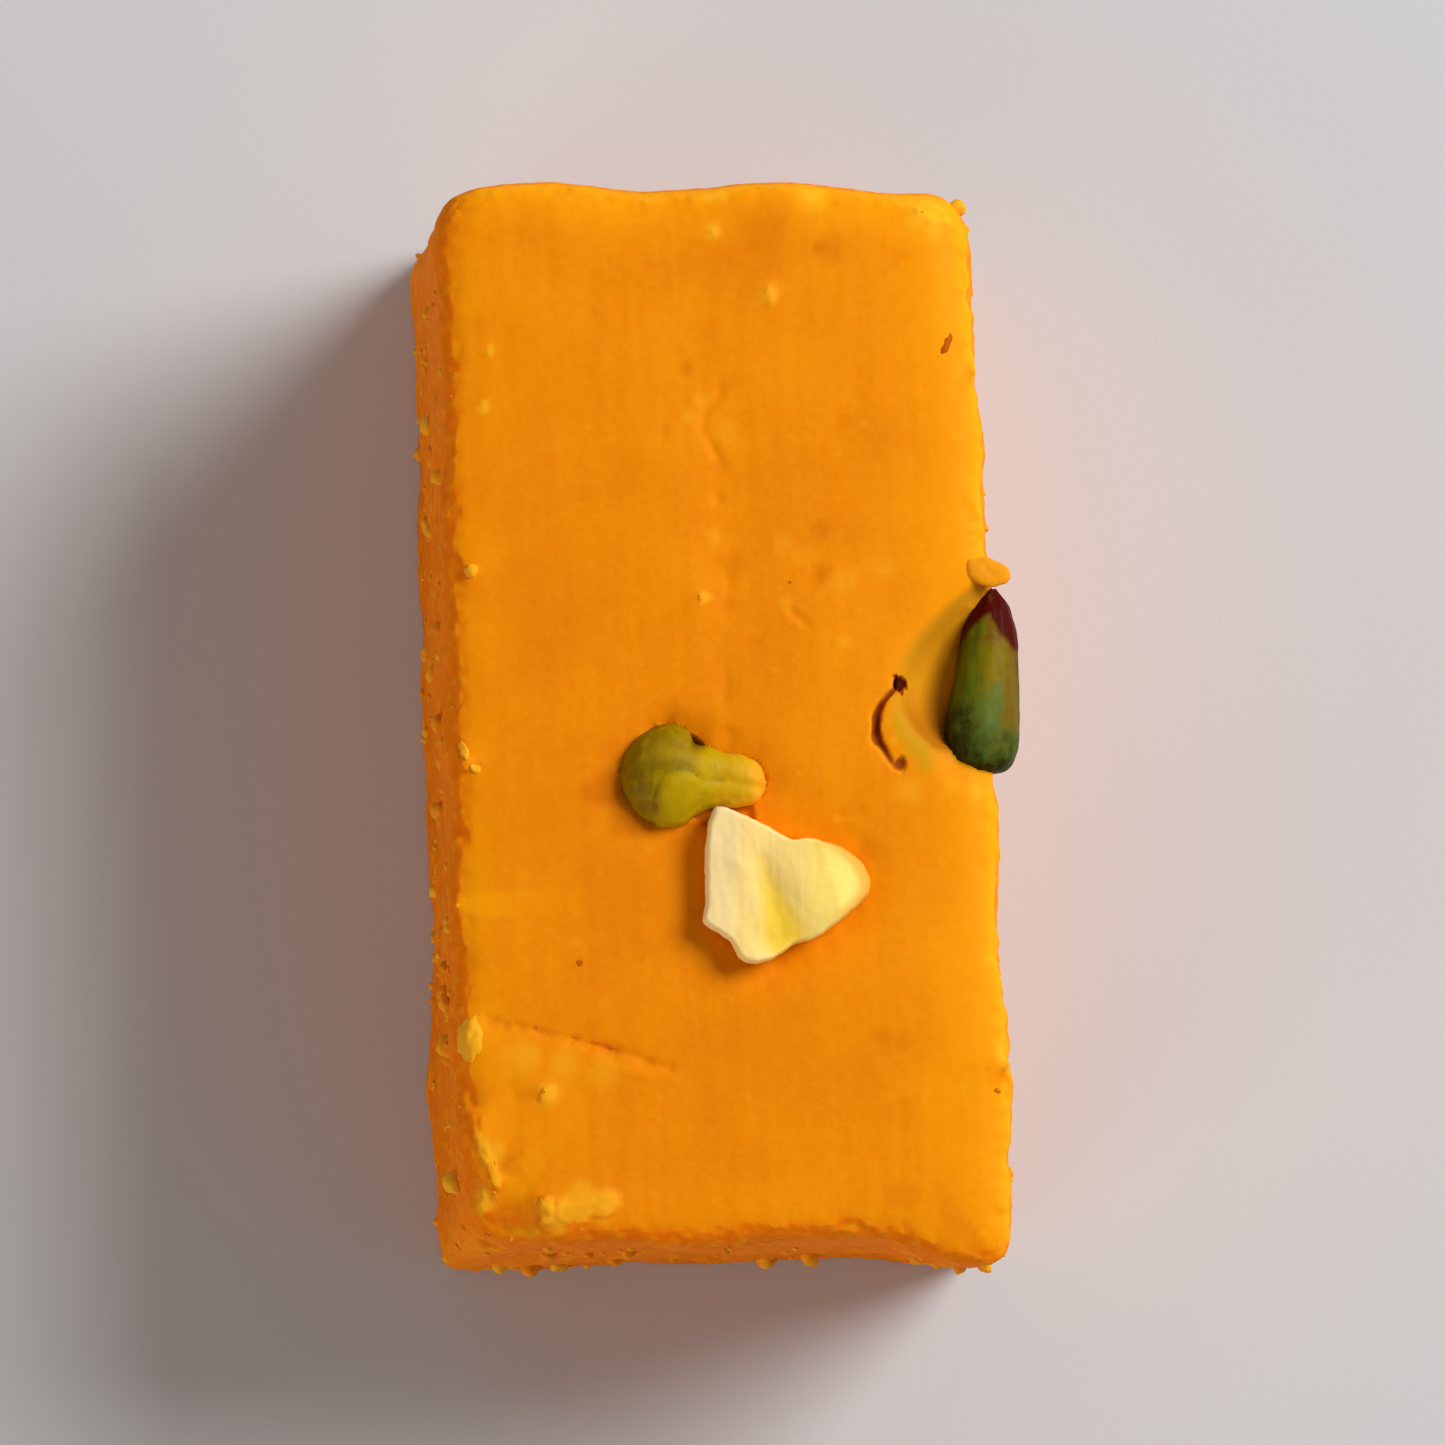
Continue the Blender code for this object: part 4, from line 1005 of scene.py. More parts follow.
def scatter_tree(name, material):
    """Geometry nodes that strew rough crumbs over a surface, as thick as a named mask says."""
    nodes = Nodes(bpy.data.node_groups.new(name, "GeometryNodeTree"))
    sizes = [(label, "Float") for label in ("Density", "Spacing", "Smallest", "Largest")]
    nodes.open_sockets("INPUT", (("Surface", "Geometry"), ("Mask", "String"), *sizes, ("Seed", "Int")))
    nodes.open_sockets("OUTPUT", [("Crumbs", "Geometry")])
    given = nodes.put("NodeGroupInput")
    mask = nodes.put("GeometryNodeInputNamedAttribute", {"Name": given["Mask"]}, data_type="FLOAT")[0]
    wanted = {"Mesh": "Surface", "Distance Min": "Spacing", "Density Max": "Density", "Seed": "Seed"}
    inputs = {key: given[label] for key, label in wanted.items()}
    inputs["Density Factor"] = mask
    points = nodes.put("GeometryNodeDistributePointsOnFaces", inputs, distribute_method="POISSON")["Points"]
    small = nodes.math("POWER", nodes.random("FLOAT", 0.0, 1.0, 2), CRUMB_POWER)
    inputs = {"Value": small, "To Min": given["Smallest"], "To Max": given["Largest"]}
    size = nodes.put("ShaderNodeMapRange", inputs)[0]
    squeeze = nodes.random("FLOAT_VECTOR", *CRUMB_SQUEEZE, 3)
    inputs = {
        "Points": points,
        "Instance": crumb_shapes(nodes),
        "Pick Instance": True,
        "Instance Index": nodes.random("INT", 0, CRUMB_SHAPES - 1, 4),
        "Rotation": nodes.random("FLOAT_VECTOR", (0.0, 0.0, 0.0), FULL_TURNS, 1),
        "Scale": nodes.scaled(squeeze, size),
    }
    strewn = nodes.put("GeometryNodeInstanceOnPoints", inputs)[0]
    inputs = {"Geometry": strewn, "Name": "tone", "Value": nodes.random("FLOAT", 0.0, 1.0, 6)}
    toned = nodes.put("GeometryNodeStoreNamedAttribute", inputs, data_type="FLOAT", domain="INSTANCE")[0]
    real = nodes.put("GeometryNodeRealizeInstances", {"Geometry": toned})[0]
    smooth = nodes.put("GeometryNodeSetShadeSmooth", {"Geometry": real})[0]
    dressed = nodes.put("GeometryNodeSetMaterial", {"Geometry": smooth, "Material": material})[0]
    nodes.put("NodeGroupOutput", {"Crumbs": dressed})
    return nodes.tree


def scatter(name, block, tree, values):
    """Runs a scattering tree on the block's surface, and keeps its crumbs as one plain mesh."""
    carrier = add_object(name, block.copy())
    nodes = carrier.modifiers.new("scatter", "NODES")
    nodes.node_group = tree
    for item in tree.interface.items_tree:
        if item.in_out == "INPUT" and item.name in values:
            nodes[item.identifier] = values[item.name]
    mesh = evaluated_mesh(carrier)
    carrier.modifiers.clear()
    carrier.data = mesh
    mesh.name = name
    if not mesh.polygons:
        raise RuntimeError(f"{name}: no crumb was strewn")
    return carrier


# Nuts


def profile_radius(profile, along):
    """The profile's radius at a distance along it, on a smooth curve through its points."""
    points = [Vector(point) for point in profile]
    for index in range(len(points) - 1):
        start, end = points[index], points[index + 1]
        if along <= end.x:
            before = points[max(0, index - 1)]
            after = points[min(len(points) - 1, index + 2)]
            share = (along - start.x) / (end.x - start.x)
            rise_in = (end.y - before.y) / (end.x - before.x) * (end.x - start.x)
            rise_out = (after.y - start.y) / (after.x - start.x) * (end.x - start.x)
            a, b = 2 * share ** 3 - 3 * share ** 2, share ** 3 - share ** 2
            return (1 + a) * start.y + (b - share ** 2 + share) * rise_in - a * end.y + b * rise_out
    return 0.0


def turned_nut(name, profile, height_share, near_end, proud, turn):
    """A nut turned from its profile along its own +Y and laid in its place, and its points before that."""
    bm = bmesh.new()
    loops = []
    length, widest = profile[-1][0], max(wide for _, wide in profile)
    turns = [2 * math.pi * side / NUT_SIDES for side in range(NUT_SIDES)]
    for ring in range(1, NUT_RINGS):
        along = length * (0.5 - 0.5 * math.cos(math.pi * ring / NUT_RINGS))
        wide = max(NUT_THINNEST, profile_radius(profile, along))
        high = wide * height_share
        loops.append([bm.verts.new((wide * math.cos(t), along, high * math.sin(t))) for t in turns])
    loft(bm, loops, (bm.verts.new((0, 0, 0)), bm.verts.new((0, length, 0))))
    mesh = mesh_from(name, bm)
    own = get_points(mesh)
    measures = (("along", 1, length), ("across", 0, widest), ("above", 2, widest * height_share))
    for mask, axis, size in measures:
        set_mask(mesh, mask, own[:, axis] / size)
    place = Vector((*(SHIFT + near_end), TOP / MM + proud - widest * height_share))
    mesh.transform(Matrix.Translation(place * MM) @ Matrix.Rotation(turn, 4, "Z") @ Matrix.Scale(MM, 4))
    return mesh, own


def roughen(mesh, height):
    """Moves each vertex out along its normal, and keeps what stands out as a mask."""
    set_points(mesh, get_points(mesh) + get_normals(mesh) * height[:, None])
    set_mask(mesh, "raised", raised(mesh, NUT_RAISED_STEPS, 0.05 * MM))


def make_round(relief):
    """The pistachio chip: a wrinkled round end, a cut lobe that starts in it, and a tongue."""
    mesh, own = turned_nut(
        "pistachio_round", ROUND_PROFILE, ROUND_HEIGHT_SHARE, ROUND_NEAR, ROUND_PROUD, ROUND_TURN
    )
    x, y, z = own.T
    upper = z > 0
    wrinkles = noise_at(own, np.array((0.50, 1.6, 0.50)), 2.0)
    swell = noise_at(own, 1.1, 13.0)
    pits = noise_at(own, 0.30, 8.0)
    waver = 0.22 * noise_at(own, 0.7, 5.0)
    started = smooth_step(1.1, 1.9, y + waver) * smooth_step(-0.35, 0.25, x + waver)
    lobe = np.maximum(smooth_step(2.6, 3.2, y + waver), started)
    tongue = smooth_step(3.0, 4.0, y)
    furrow = np.exp(-((x - 0.1 * y + 0.35) / 0.22) ** 2) * tongue * upper
    notch = np.exp(-((x + 1.50) / 0.50) ** 2 - ((y - 3.0) / 0.30) ** 2) * (z > -0.6)
    edge = np.exp(-((started - 0.45) / 0.25) ** 2) * (y < 3.0) * upper
    height = relief * (1.1 * wrinkles + 0.9 * swell + 0.6 * pits) + 0.10 * MM * lobe * (1 - tongue) * upper
    roughen(mesh, height - 0.11 * MM * furrow - 0.30 * MM * notch - 0.11 * MM * edge)
    set_mask(mesh, "notch", notch)
    set_mask(mesh, "lobe", lobe)
    return mesh


def make_point(relief):
    """The pistachio sliver: a pointed kernel with a long ridge, capped by skin at its point."""
    mesh, own = turned_nut(
        "pistachio_point", POINT_PROFILE, POINT_HEIGHT_SHARE, POINT_NEAR, POINT_PROUD, POINT_TURN
    )
    x, y, z = own.T
    upper, along = z > 0, y / POINT_PROFILE[-1][0]
    ridges = noise_at(np.stack((np.arctan2(x, z) * 1.6, y / 4.5, 0 * z), axis=1), 0.55, 5.0)
    pits = noise_at(own, 0.4, 1.0)
    flake = noise_at(own, 0.7, 3.0)
    spine = np.exp(-((x + 0.10) / 0.40) ** 2) * upper * smooth_step(0.6, 2.0, y)
    half = 1.30 * np.clip((0.85 - along + 0.03 * (x < 0)) / 0.20, 0.0, 1.0) ** 0.9 - 0.06
    beyond = np.abs(x + 0.10) - half + 0.24 * flake
    cap = smooth_step(0.56, 0.70, along + 0.05 * flake)
    skin = np.where(upper, smooth_step(-0.16, 0.12, beyond), 1.0) * cap
    roughen(mesh, relief * (1.1 * ridges + 0.5 * pits + 0.9 * spine) + 0.06 * MM * skin)
    set_mask(mesh, "skin", skin)
    return mesh


def almond_dip(flat):
    """How far the almond's top lies below its level at drawing places, and how deep its valley is."""
    x, y = flat.T
    share, away = beside_line(flat, *ALMOND_VALLEY)
    valley = (0.16 + 0.20 * share) * np.exp(-(away / (0.50 + 0.45 * share)) ** 2)
    fall = 0.13 * np.maximum(0.0, 0.22 - x + 0.12 * (y + 5))
    fall += 0.30 * np.maximum(0.0, x - 4.05 + 0.25 * (y + 6.5))
    return valley + fall, valley


def broken_faces(flat, draw):
    """Small flat faces of a broken nut: each point's height on the planes of the sites nearest to it."""
    sites = np.array([[draw.uniform(*ends) for ends in ALMOND_RANGES] for _ in range(ALMOND_FACES)])
    slopes = np.array([[draw.uniform(-ALMOND_SLOPE, ALMOND_SLOPE) for _ in range(2)] for _ in sites])
    away = flat[:, None, :] - sites[None, :, :]
    far = (away ** 2).sum(axis=2)
    weights = np.exp(-(far - far.min(axis=1)[:, None]) / ALMOND_BLEND)
    return (weights * (away * slopes).sum(axis=2)).sum(axis=1) / weights.sum(axis=1)


def even_outline(corners, count):
    """A closed outline's corners, cut a little round, as evenly spaced points."""
    points = np.array(corners)
    near, far = CORNER_SHARES
    for _ in range(CORNER_CUTS):
        after = np.roll(points, -1, axis=0)
        points = np.stack((near * points + far * after, far * points + near * after), axis=1).reshape(-1, 2)
    closed = np.vstack((points, points[:1]))
    run = np.concatenate(([0.0], np.cumsum(np.linalg.norm(np.diff(closed, axis=0), axis=1))))
    places = np.arange(count) * run[-1] / count
    return np.stack([np.interp(places, run, closed[:, axis]) for axis in range(2)], axis=1)


def make_almond(relief, draw):
    """The almond chip: broken faces, a valley between two lobes, a thin right edge and steep sides."""
    outline = even_outline(ALMOND_OUTLINE, ALMOND_SIDES)
    middle = outline.mean(axis=0)
    top, foot = TOP / MM + ALMOND_PROUD, TOP / MM - ALMOND_SUNK
    nicks = 1 + ALMOND_NICKS * noise_at(np.column_stack((outline, 0 * outline[:, 0])), 0.45)
    inner = [(0.965 * (1 - step / ALMOND_RINGS), 1.0) for step in range(ALMOND_RINGS)]
    rings = (*ALMOND_WALL, *inner)
    flat = [middle + (outline - middle) * nicks[:, None] * share for share, _ in rings]
    flat = np.array(flat).reshape(-1, 2)
    dip, valley = almond_dip(flat)
    level = top - dip + broken_faces(flat, draw)
    shoulder = len(ALMOND_WALL) * ALMOND_SIDES
    level[shoulder:shoulder + ALMOND_SIDES] -= ALMOND_SHOULDER
    rise = np.repeat([share for _, share in rings], ALMOND_SIDES)
    own = np.column_stack((flat, foot + rise * (level - foot)))
    bm = bmesh.new()
    verts = [bm.verts.new(place) for place in own]
    loops = [verts[start:start + ALMOND_SIDES] for start in range(0, len(verts), ALMOND_SIDES)]
    loft(bm, loops)
    mesh = mesh_from("almond_piece", bm)
    set_points(mesh, smoothed(own, get_edges(mesh), 2))
    x, y = flat.T
    set_mask(mesh, "valley", valley / 0.5)
    set_mask(mesh, "across", (x - x.min()) / np.ptp(x))
    ring = np.repeat([share for share, _ in rings], ALMOND_SIDES)
    set_mask(mesh, "thin", smooth_step(2.8, 4.6, x + 0.2 * (y + 5.3)) * smooth_step(0.80, 0.97, ring))
    set_mask(mesh, "left_face", smooth_step(0.75, -0.05, x - 0.10 * (y + 5)))
    mesh.transform(Matrix.Translation(Vector((*SHIFT, 0)) * MM) @ Matrix.Scale(MM, 4))
    fibres = noise_at(own, np.array((0.22, 1.4, 0.22)), 6.0)
    swell = noise_at(own, 1.1, 9.0)
    pits = noise_at(own, 0.3, 2.0)
    roughen(mesh, relief * (0.45 * swell + 0.22 * fibres + (0.22 + 0.3 * (rise < 1)) * pits))
    return mesh


# Shared effects of the materials


def milk_grain(nodes, given):
    """Grain of milk fudge: soft mottling, fine grain, milk curds, sparse flecks, and height in metres."""

    def cells(share):
        scale = nodes.math("DIVIDE", share, given["Grain Size"])
        return nodes.put("ShaderNodeTexVoronoi", {"Vector": nodes.place(), "Scale": scale, "Randomness": 1.0})

    mottle = nodes.noise(given["Mottle Size"], 3.0, 0.6)
    grain = nodes.noise(given["Grain Size"], 3.0, 0.65)
    curds = nodes.ramp(cells(0.55)["Distance"], 0.55, 0.12)
    spots = cells(0.30)
    chance = nodes.put("ShaderNodeSeparateColor", {0: spots["Color"]})[0]
    beyond = nodes.math("SUBTRACT", nodes.ramp(chance, 0.60, 1.0, 0.0, 0.22), spots["Distance"])
    rise = nodes.plus(nodes.times(grain, 0.8), nodes.times(curds, 0.5))
    return {
        "Mottle": nodes.ramp(mottle, 0.30, 0.70),
        "Grain": nodes.ramp(grain, 0.30, 0.70),
        "Curds": curds,
        "Flecks": nodes.ramp(beyond, 0.0, 0.07),
        "Height": nodes.times(rise, given["Height Scale"]),
    }


def nut_flesh(nodes, given):
    """Flesh of a nut: mottling, fine fibres, what stands out for a painted highlight and what lies sunk for
    painted shade, and their height in metres.
    """
    mottle = nodes.noise(given["Mottle Size"], 3.0, 0.6)
    fibres = nodes.noise(given["Grain Size"], 2.0, 0.6, (1.0, 0.22, 1.0))
    stands_out = nodes.mask("raised")
    return {
        "Mottle": nodes.ramp(mottle, 0.30, 0.70),
        "Grain": nodes.ramp(fibres, 0.30, 0.70),
        # Masks for painted highlight on what stands out and painted shade in what lies sunk
        "Edge": nodes.ramp(stands_out, 0.15, 0.9),
        "Hollow": nodes.ramp(stands_out, -0.15, -0.9),
        "Height": nodes.times(fibres, given["Height Scale"]),
    }


EFFECT_SIZES = ("Mottle Size", "Grain Size", "Height Scale")


def effect_group(effect):
    """A shared effect's shader group, built once, with three named sizes in metres as its inputs."""
    name = effect.__name__
    if name not in bpy.data.node_groups:
        nodes = Nodes(bpy.data.node_groups.new(name, "ShaderNodeTree"))
        nodes.open_sockets("INPUT", [(label, "Float") for label in EFFECT_SIZES])
        results = effect(nodes, nodes.put("NodeGroupInput"))
        nodes.open_sockets("OUTPUT", [(label, "Float") for label in results])
        nodes.put("NodeGroupOutput", results)
    return bpy.data.node_groups[name]


class Paint(Nodes):
    """A new material, whose colour is laid on coat by coat; light runs its radius of millimetres inside."""

    def __init__(self, name, first_coat, specular, subsurface, radius):
        self.material = bpy.data.materials.new(name)
        self.material.use_nodes = True
        super().__init__(self.material.node_tree)
        self.shader = self.tree.nodes["Principled BSDF"].inputs
        self.shader["Specular IOR Level"].default_value = specular
        self.shader["Subsurface Weight"].default_value = subsurface
        self.shader["Subsurface Radius"].default_value = radius
        self.shader["Subsurface Scale"].default_value = 1.0 * MM
        self.colour = first_coat

    def effect(self, effect, *sizes):
        """The outputs of a shared effect, for its sizes in millimetres."""
        inputs = {label: size * MM for label, size in zip(EFFECT_SIZES, sizes)}
        return self.put("ShaderNodeGroup", inputs, node_tree=effect_group(effect))

    def coat(self, colour, share, mask):
        """Lays a colour over the coats below by its share of a mask, which is a socket or a name."""
        mask = self.mask(mask) if isinstance(mask, str) else mask
        share = mask if share == 1.0 else self.times(mask, share)
        below = self.colour if isinstance(self.colour, bpy.types.NodeSocket) else (*self.colour, 1.0)
        self.colour = self.put("ShaderNodeMix", {0: share, 6: below, 7: (*colour, 1.0)}, data_type="RGBA")[2]

    def finish(self, roughness, height):
        """Links the coats, the roughness and a height in metres to the shader, and gives the material."""
        bump = self.put("ShaderNodeBump", {"Height": height, "Distance": 1.0, "Strength": 1.0})[0]
        for name, source in (("Base Color", self.colour), ("Roughness", roughness), ("Normal", bump)):
            self.tree.links.new(source, self.shader[name])
        return self.material


# Materials


def fudge_material(settings):
    """Pressed top, torn sides, pale burrs and painted highlights, painted light on the rims that face the
    lights and painted shade on those that face away, painted shade in recesses, beside the nuts and in the
    crack, and the ochre hollow.
    """
    paint = Paint("orange_fudge", settings.body_colour, 0.04, 0.12, (0.8, 0.4, 0.12))
    grain = paint.effect(milk_grain, 2.6, 0.30, 0.030)
    cut, crack = paint.mask("cut"), paint.mask("crack")
    # The deep colour also paints shade, the pale one highlights, and the rim colour light along the rims
    dark, light, rim_light_and_tone = settings.mottle_and_shade_colour, settings.pale_and_highlight_colour, settings.rim_light_and_tone_colour
    paint.coat(dark, 0.28, grain["Mottle"])
    paint.coat(rim_light_and_tone, 0.30, paint.ramp(paint.noise(7.5 * MM), 0.38, 0.66))
    paint.coat(dark, 0.22, paint.ramp(paint.noise(0.6 * MM, stretch=(1.0, 0.07, 1.0)), 0.35, 0.75))
    # The cut sides' colour, which also paints shade on the rims that face away from the lights
    paint.coat(settings.cut_and_shade_colour, 0.80, cut)
    # Painted light along the rims that face the lights
    paint.coat(rim_light_and_tone, 0.90, "sun")
    paint.coat(light, 0.09, grain["Grain"])
    paint.coat(light, 1.0, paint.times(grain["Curds"], paint.ramp(cut, 0.0, 1.0, 0.0, 0.20)))
    paint.coat(light, 1.0, paint.times(grain["Flecks"], paint.ramp(cut, 0.0, 1.0, 0.12, 0.36)))
    # Darker spots, and painted shade in recesses, beside the nuts and around the pistachio chip
    paint.coat(dark, 0.85, "deep")
    # Pale flakes and burrs, with painted highlights
    paint.coat(light, 0.80, "pale")
    paint.coat(settings.hollow_wall_colour, 0.90, "pit")
    paint.coat(settings.flap_colour, 1.0, "flap")
    # Painted shade in the crack and at the hollow's near end
    paint.coat(settings.crack_shade_colour, 1.0, paint.ramp(crack, 0.0, 0.8))
    paint.coat(CRACK_FLOOR_SHADE, 1.0, paint.ramp(crack, 0.82, 1.0))
    rough = paint.plus(0.44, paint.times(grain["Grain"], 0.14))
    height = paint.times(grain["Height"], paint.ramp(cut, 0.0, 1.0, 0.35, 2.2))
    return paint.finish(paint.plus(rough, paint.times(cut, 0.24)), height)


def crumb_material(name, light, dark, share):
    """Crumbs of fudge, each of its own tone between two colours."""
    paint = Paint(name, light, 0.08, 0.0, (1.0, 0.5, 0.2))
    grain = paint.effect(milk_grain, 0.7, 0.16, 0.012)
    paint.coat(dark, share, "tone")
    paint.coat(dark, 0.30, grain["Mottle"])
    return paint.finish(paint.ramp(grain["Grain"], 0.0, 1.0, 0.50, 0.68), grain["Height"])


def speck_material(settings):
    """Tiny bits of nut skin."""
    paint = Paint("skin_speck", settings.speck_colour, 0.04, 0.2, (1.0, 0.4, 0.1))
    flesh = paint.effect(nut_flesh, 0.3, 0.12, 0.006)
    paint.coat([0.75 * value for value in settings.speck_colour], 1.0, flesh["Mottle"])
    return paint.finish(paint.ramp(flesh["Grain"], 0.0, 1.0, 0.45, 0.65), flesh["Height"])


def round_material(settings):
    """The pistachio chip: olive round end, yellow-green lobe and tongue, and the tongue's pale tip, with
    painted shade on its low edge, in its hollows and in its notch, and a painted highlight on what stands
    out.
    """
    paint = Paint("pistachio_flesh", settings.olive_colour, 0.07, 0.08, (0.8, 0.6, 0.2))
    flesh = paint.effect(nut_flesh, 0.8, 0.14, 0.014)
    # A darker green for the round end's mottling, and for painted shade on its low edge and in its hollows
    green = [value * tint for value, tint in zip(settings.olive_colour, (0.50, 0.66, 0.9))]
    wander = paint.times(paint.math("SUBTRACT", flesh["Mottle"], 0.5), 0.08)
    along = paint.plus(paint.mask("along"), wander)
    crown = paint.ramp(paint.math("ABSOLUTE", paint.plus(paint.mask("across"), 0.35)), 0.42, 0.0)
    # Painted shade: the chip's low edge, near the fudge, is painted darker green
    rim = paint.ramp(paint.mask("above"), 0.40, 0.0, 0.0, 0.15)
    paint.coat(green, 0.55, flesh["Mottle"])
    paint.coat(CROWN, 0.5, paint.times(crown, paint.ramp(along, 0.08, 0.20)))
    paint.coat(settings.flesh_colour, 0.85, "lobe")
    paint.coat(TONGUE, 1.0, paint.ramp(along, 0.58, 0.82, 0.0, 0.8))
    paint.coat(settings.tip_colour, 1.0, paint.ramp(along, 0.82, 0.97))
    # Painted shade on the low edge
    paint.coat(green, 1.0, paint.times(rim, paint.ramp(along, 0.80, 0.5)))
    # Painted highlight: what stands out is painted paler
    paint.coat(settings.flesh_colour, 0.20, flesh["Edge"])
    # Painted shade: what lies sunk is painted darker green
    paint.coat(green, 0.45, flesh["Hollow"])
    # Painted shade in the notch
    paint.coat(NOTCH_SHADE, 0.85, "notch")
    return paint.finish(paint.ramp(flesh["Grain"], 0.0, 1.0, 0.40, 0.60), flesh["Height"])


def point_material(settings):
    """The pistachio sliver: green below, olive along its ridge, brown to its right, maroon at its point."""
    paint = Paint("pistachio_skin", SLIVER_SHADE, 0.05, 0.05, (0.8, 0.6, 0.2))
    flesh = paint.effect(nut_flesh, 0.9, 0.16, 0.014)
    wander = paint.times(paint.math("SUBTRACT", flesh["Mottle"], 0.5), 0.16)
    across, along = (paint.plus(paint.mask(name), wander) for name in ("across", "along"))
    paint.coat(SLIVER_NEAR_END, 1.0, paint.ramp(along, 0.03, 0.15))
    paint.coat(settings.green_colour, 1.0, paint.ramp(along, 0.12, 0.30))
    paint.coat(settings.ridge_colour, 1.0, paint.ramp(along, 0.34, 0.56))
    paint.coat(SLIVER_NECK, 1.0, paint.ramp(along, 0.62, 0.82))
    flanks = (
        (SLIVER_LEFT, 0.75, (-0.05, -0.45), (0.30, 0.42)),
        (SLIVER_SHADE, 0.85, (-0.20, -0.60), (0.45, 0.20)),
        (SLIVER_RIGHT, 0.8, (0.22, 0.55), (0.12, 0.30)),
    )
    for colour, share, side, stretch in flanks:
        paint.coat(colour, share, paint.times(paint.ramp(across, *side), paint.ramp(along, *stretch)))
    paint.coat(settings.ridge_colour, 0.18, flesh["Grain"])
    paint.coat(SLIVER_SHADE, 1.0, paint.ramp(paint.mask("above"), 0.5, 0.0, 0.0, 0.6))
    paint.coat(settings.skin_colour, 1.0, "skin")
    return paint.finish(paint.ramp(flesh["Grain"], 0.0, 1.0, 0.34, 0.55), flesh["Height"])


def almond_material(settings):
    """The almond chip: cream, whiter on its left face, yellower to its right and in its valley, with a
    painted highlight on what stands out.
    """
    paint = Paint("almond_flesh", settings.cream_colour, 0.10, 0.15, (0.8, 0.6, 0.4))
    flesh = paint.effect(nut_flesh, 1.2, 0.13, 0.006)
    paint.coat(ALMOND_RIGHT, 1.0, paint.ramp(paint.mask("across"), 0.45, 0.75, 0.0, 0.80))
    paint.coat(ALMOND_LEFT, 0.95, "left_face")
    paint.coat(settings.valley_colour, 0.14, flesh["Mottle"])
    paint.coat(settings.valley_colour, 1.0, paint.ramp(paint.mask("valley"), 0.06, 0.60))
    paint.coat(ALMOND_THIN, 1.0, "thin")
    # Painted highlight on what stands out
    paint.coat(ALMOND_EDGE_HIGHLIGHT, 0.08, flesh["Edge"])
    paint.coat(settings.valley_colour, 0.06, flesh["Grain"])
    return paint.finish(paint.ramp(flesh["Grain"], 0.0, 1.0, 0.42, 0.60), flesh["Height"])


def floor_material(settings):
    """A pale matte floor with the faintest unevenness."""
    paint = Paint("pale_floor", settings.floor_colour, 0.2, 0.0, (1.0, 1.0, 1.0))
    cloud = paint.ramp(paint.noise(0.05, 3.0), 0.3, 0.7)
    paint.coat([0.96 * value for value in settings.floor_colour], 1.0, cloud)
    tooth = paint.times(paint.noise(0.4 * MM), 0.01 * MM)
    return paint.finish(paint.ramp(cloud, 0.0, 1.0, 0.75, 0.85), tooth)


# Stage


def make_floor(radius):
    """A round floor whose edge turns down a little."""
    bm = bmesh.new()
    bmesh.ops.create_circle(bm, cap_ends=True, segments=FLOOR_SIDES, radius=radius)
    rim = bmesh.ops.extrude_face_region(bm, geom=bm.edges[:])["geom"]
    low = [item for item in rim if isinstance(item, bmesh.types.BMVert)]
    bmesh.ops.translate(bm, vec=(0, 0, -FLOOR_LIP), verts=low)
    mesh = mesh_from("floor", bm)
    mesh.shade_flat()
    return mesh


def add_soft_light(name, power, place, aim, colour):
    light = bpy.data.lights.new(name, "AREA")
    light.shape = "DISK"
    light.size = LIGHT_SIZE
    light.energy = power
    light.color = colour
    thing = add_object(name, light)
    thing.location = place
    thing.rotation_euler = (Vector(aim) - Vector(place)).to_track_quat("-Z", "Y").to_euler()


def add_camera(lens):
    """A camera where the picture's stood, aimed at the middle of the finger's top."""
    camera = add_object("camera", bpy.data.cameras.new("camera"))
    back = (CAMERA_PLACE - Vector((*(SHIFT * MM), TOP))).normalized()
    right = CAMERA_UP.cross(back).normalized()
    turned = Matrix((right, back.cross(right), back)).transposed().to_4x4()
    camera.matrix_world = Matrix.Translation(CAMERA_PLACE) @ turned
    camera.data.sensor_width = SENSOR_WIDTH
    camera.data.lens = lens
    camera.data.clip_start, camera.data.clip_end = CAMERA_CLIP
    bpy.context.scene.camera = camera


def light_world(strength):
    world = bpy.data.worlds.new("pale_surroundings")
    world.use_nodes = True
    background = world.node_tree.nodes["Background"]
    background.inputs["Color"].default_value = SKY_COLOUR
    background.inputs["Strength"].default_value = strength
    bpy.context.scene.world = world


# Operators


def finish_piece(thing, slot, *nodes):
    """The piece rides on the one body and stands for its solids."""
    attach(thing, "root")
    if nodes:
        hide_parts(*nodes)


class FUDGE_OT_add_block(bpy.types.Operator):
    """Adds the fudge block with its pressed top, torn faces, hollow and crack"""

    bl_idname = "fudge.add_block"
    bl_label = "Fudge Block"

    def execute(self, context):
        settings = context.scene.fudge_block
        block = add_object("fudge_block", make_block(settings), fudge_material(settings))
        finish_piece(block, "fudge", "barfi_block")
        return {"FINISHED"}


class FUDGE_OT_add_flakes(bpy.types.Operator):
    """Adds the pale flakes and single crumbs that lie on the top"""

    bl_idname = "fudge.add_flakes"
    bl_label = "Pale Flakes"

    def execute(self, context):
        settings, crumbs = context.scene.fudge_block, context.scene.fudge_crumbs
        mesh = make_flakes(bpy.data.objects["fudge_block"].data, random.Random(crumbs.seed))
        material = crumb_material("pale_flake", settings.flake_colour, settings.body_colour, 0.9)
        finish_piece(add_object("pale_flakes", mesh, material), "fudge")
        return {"FINISHED"}


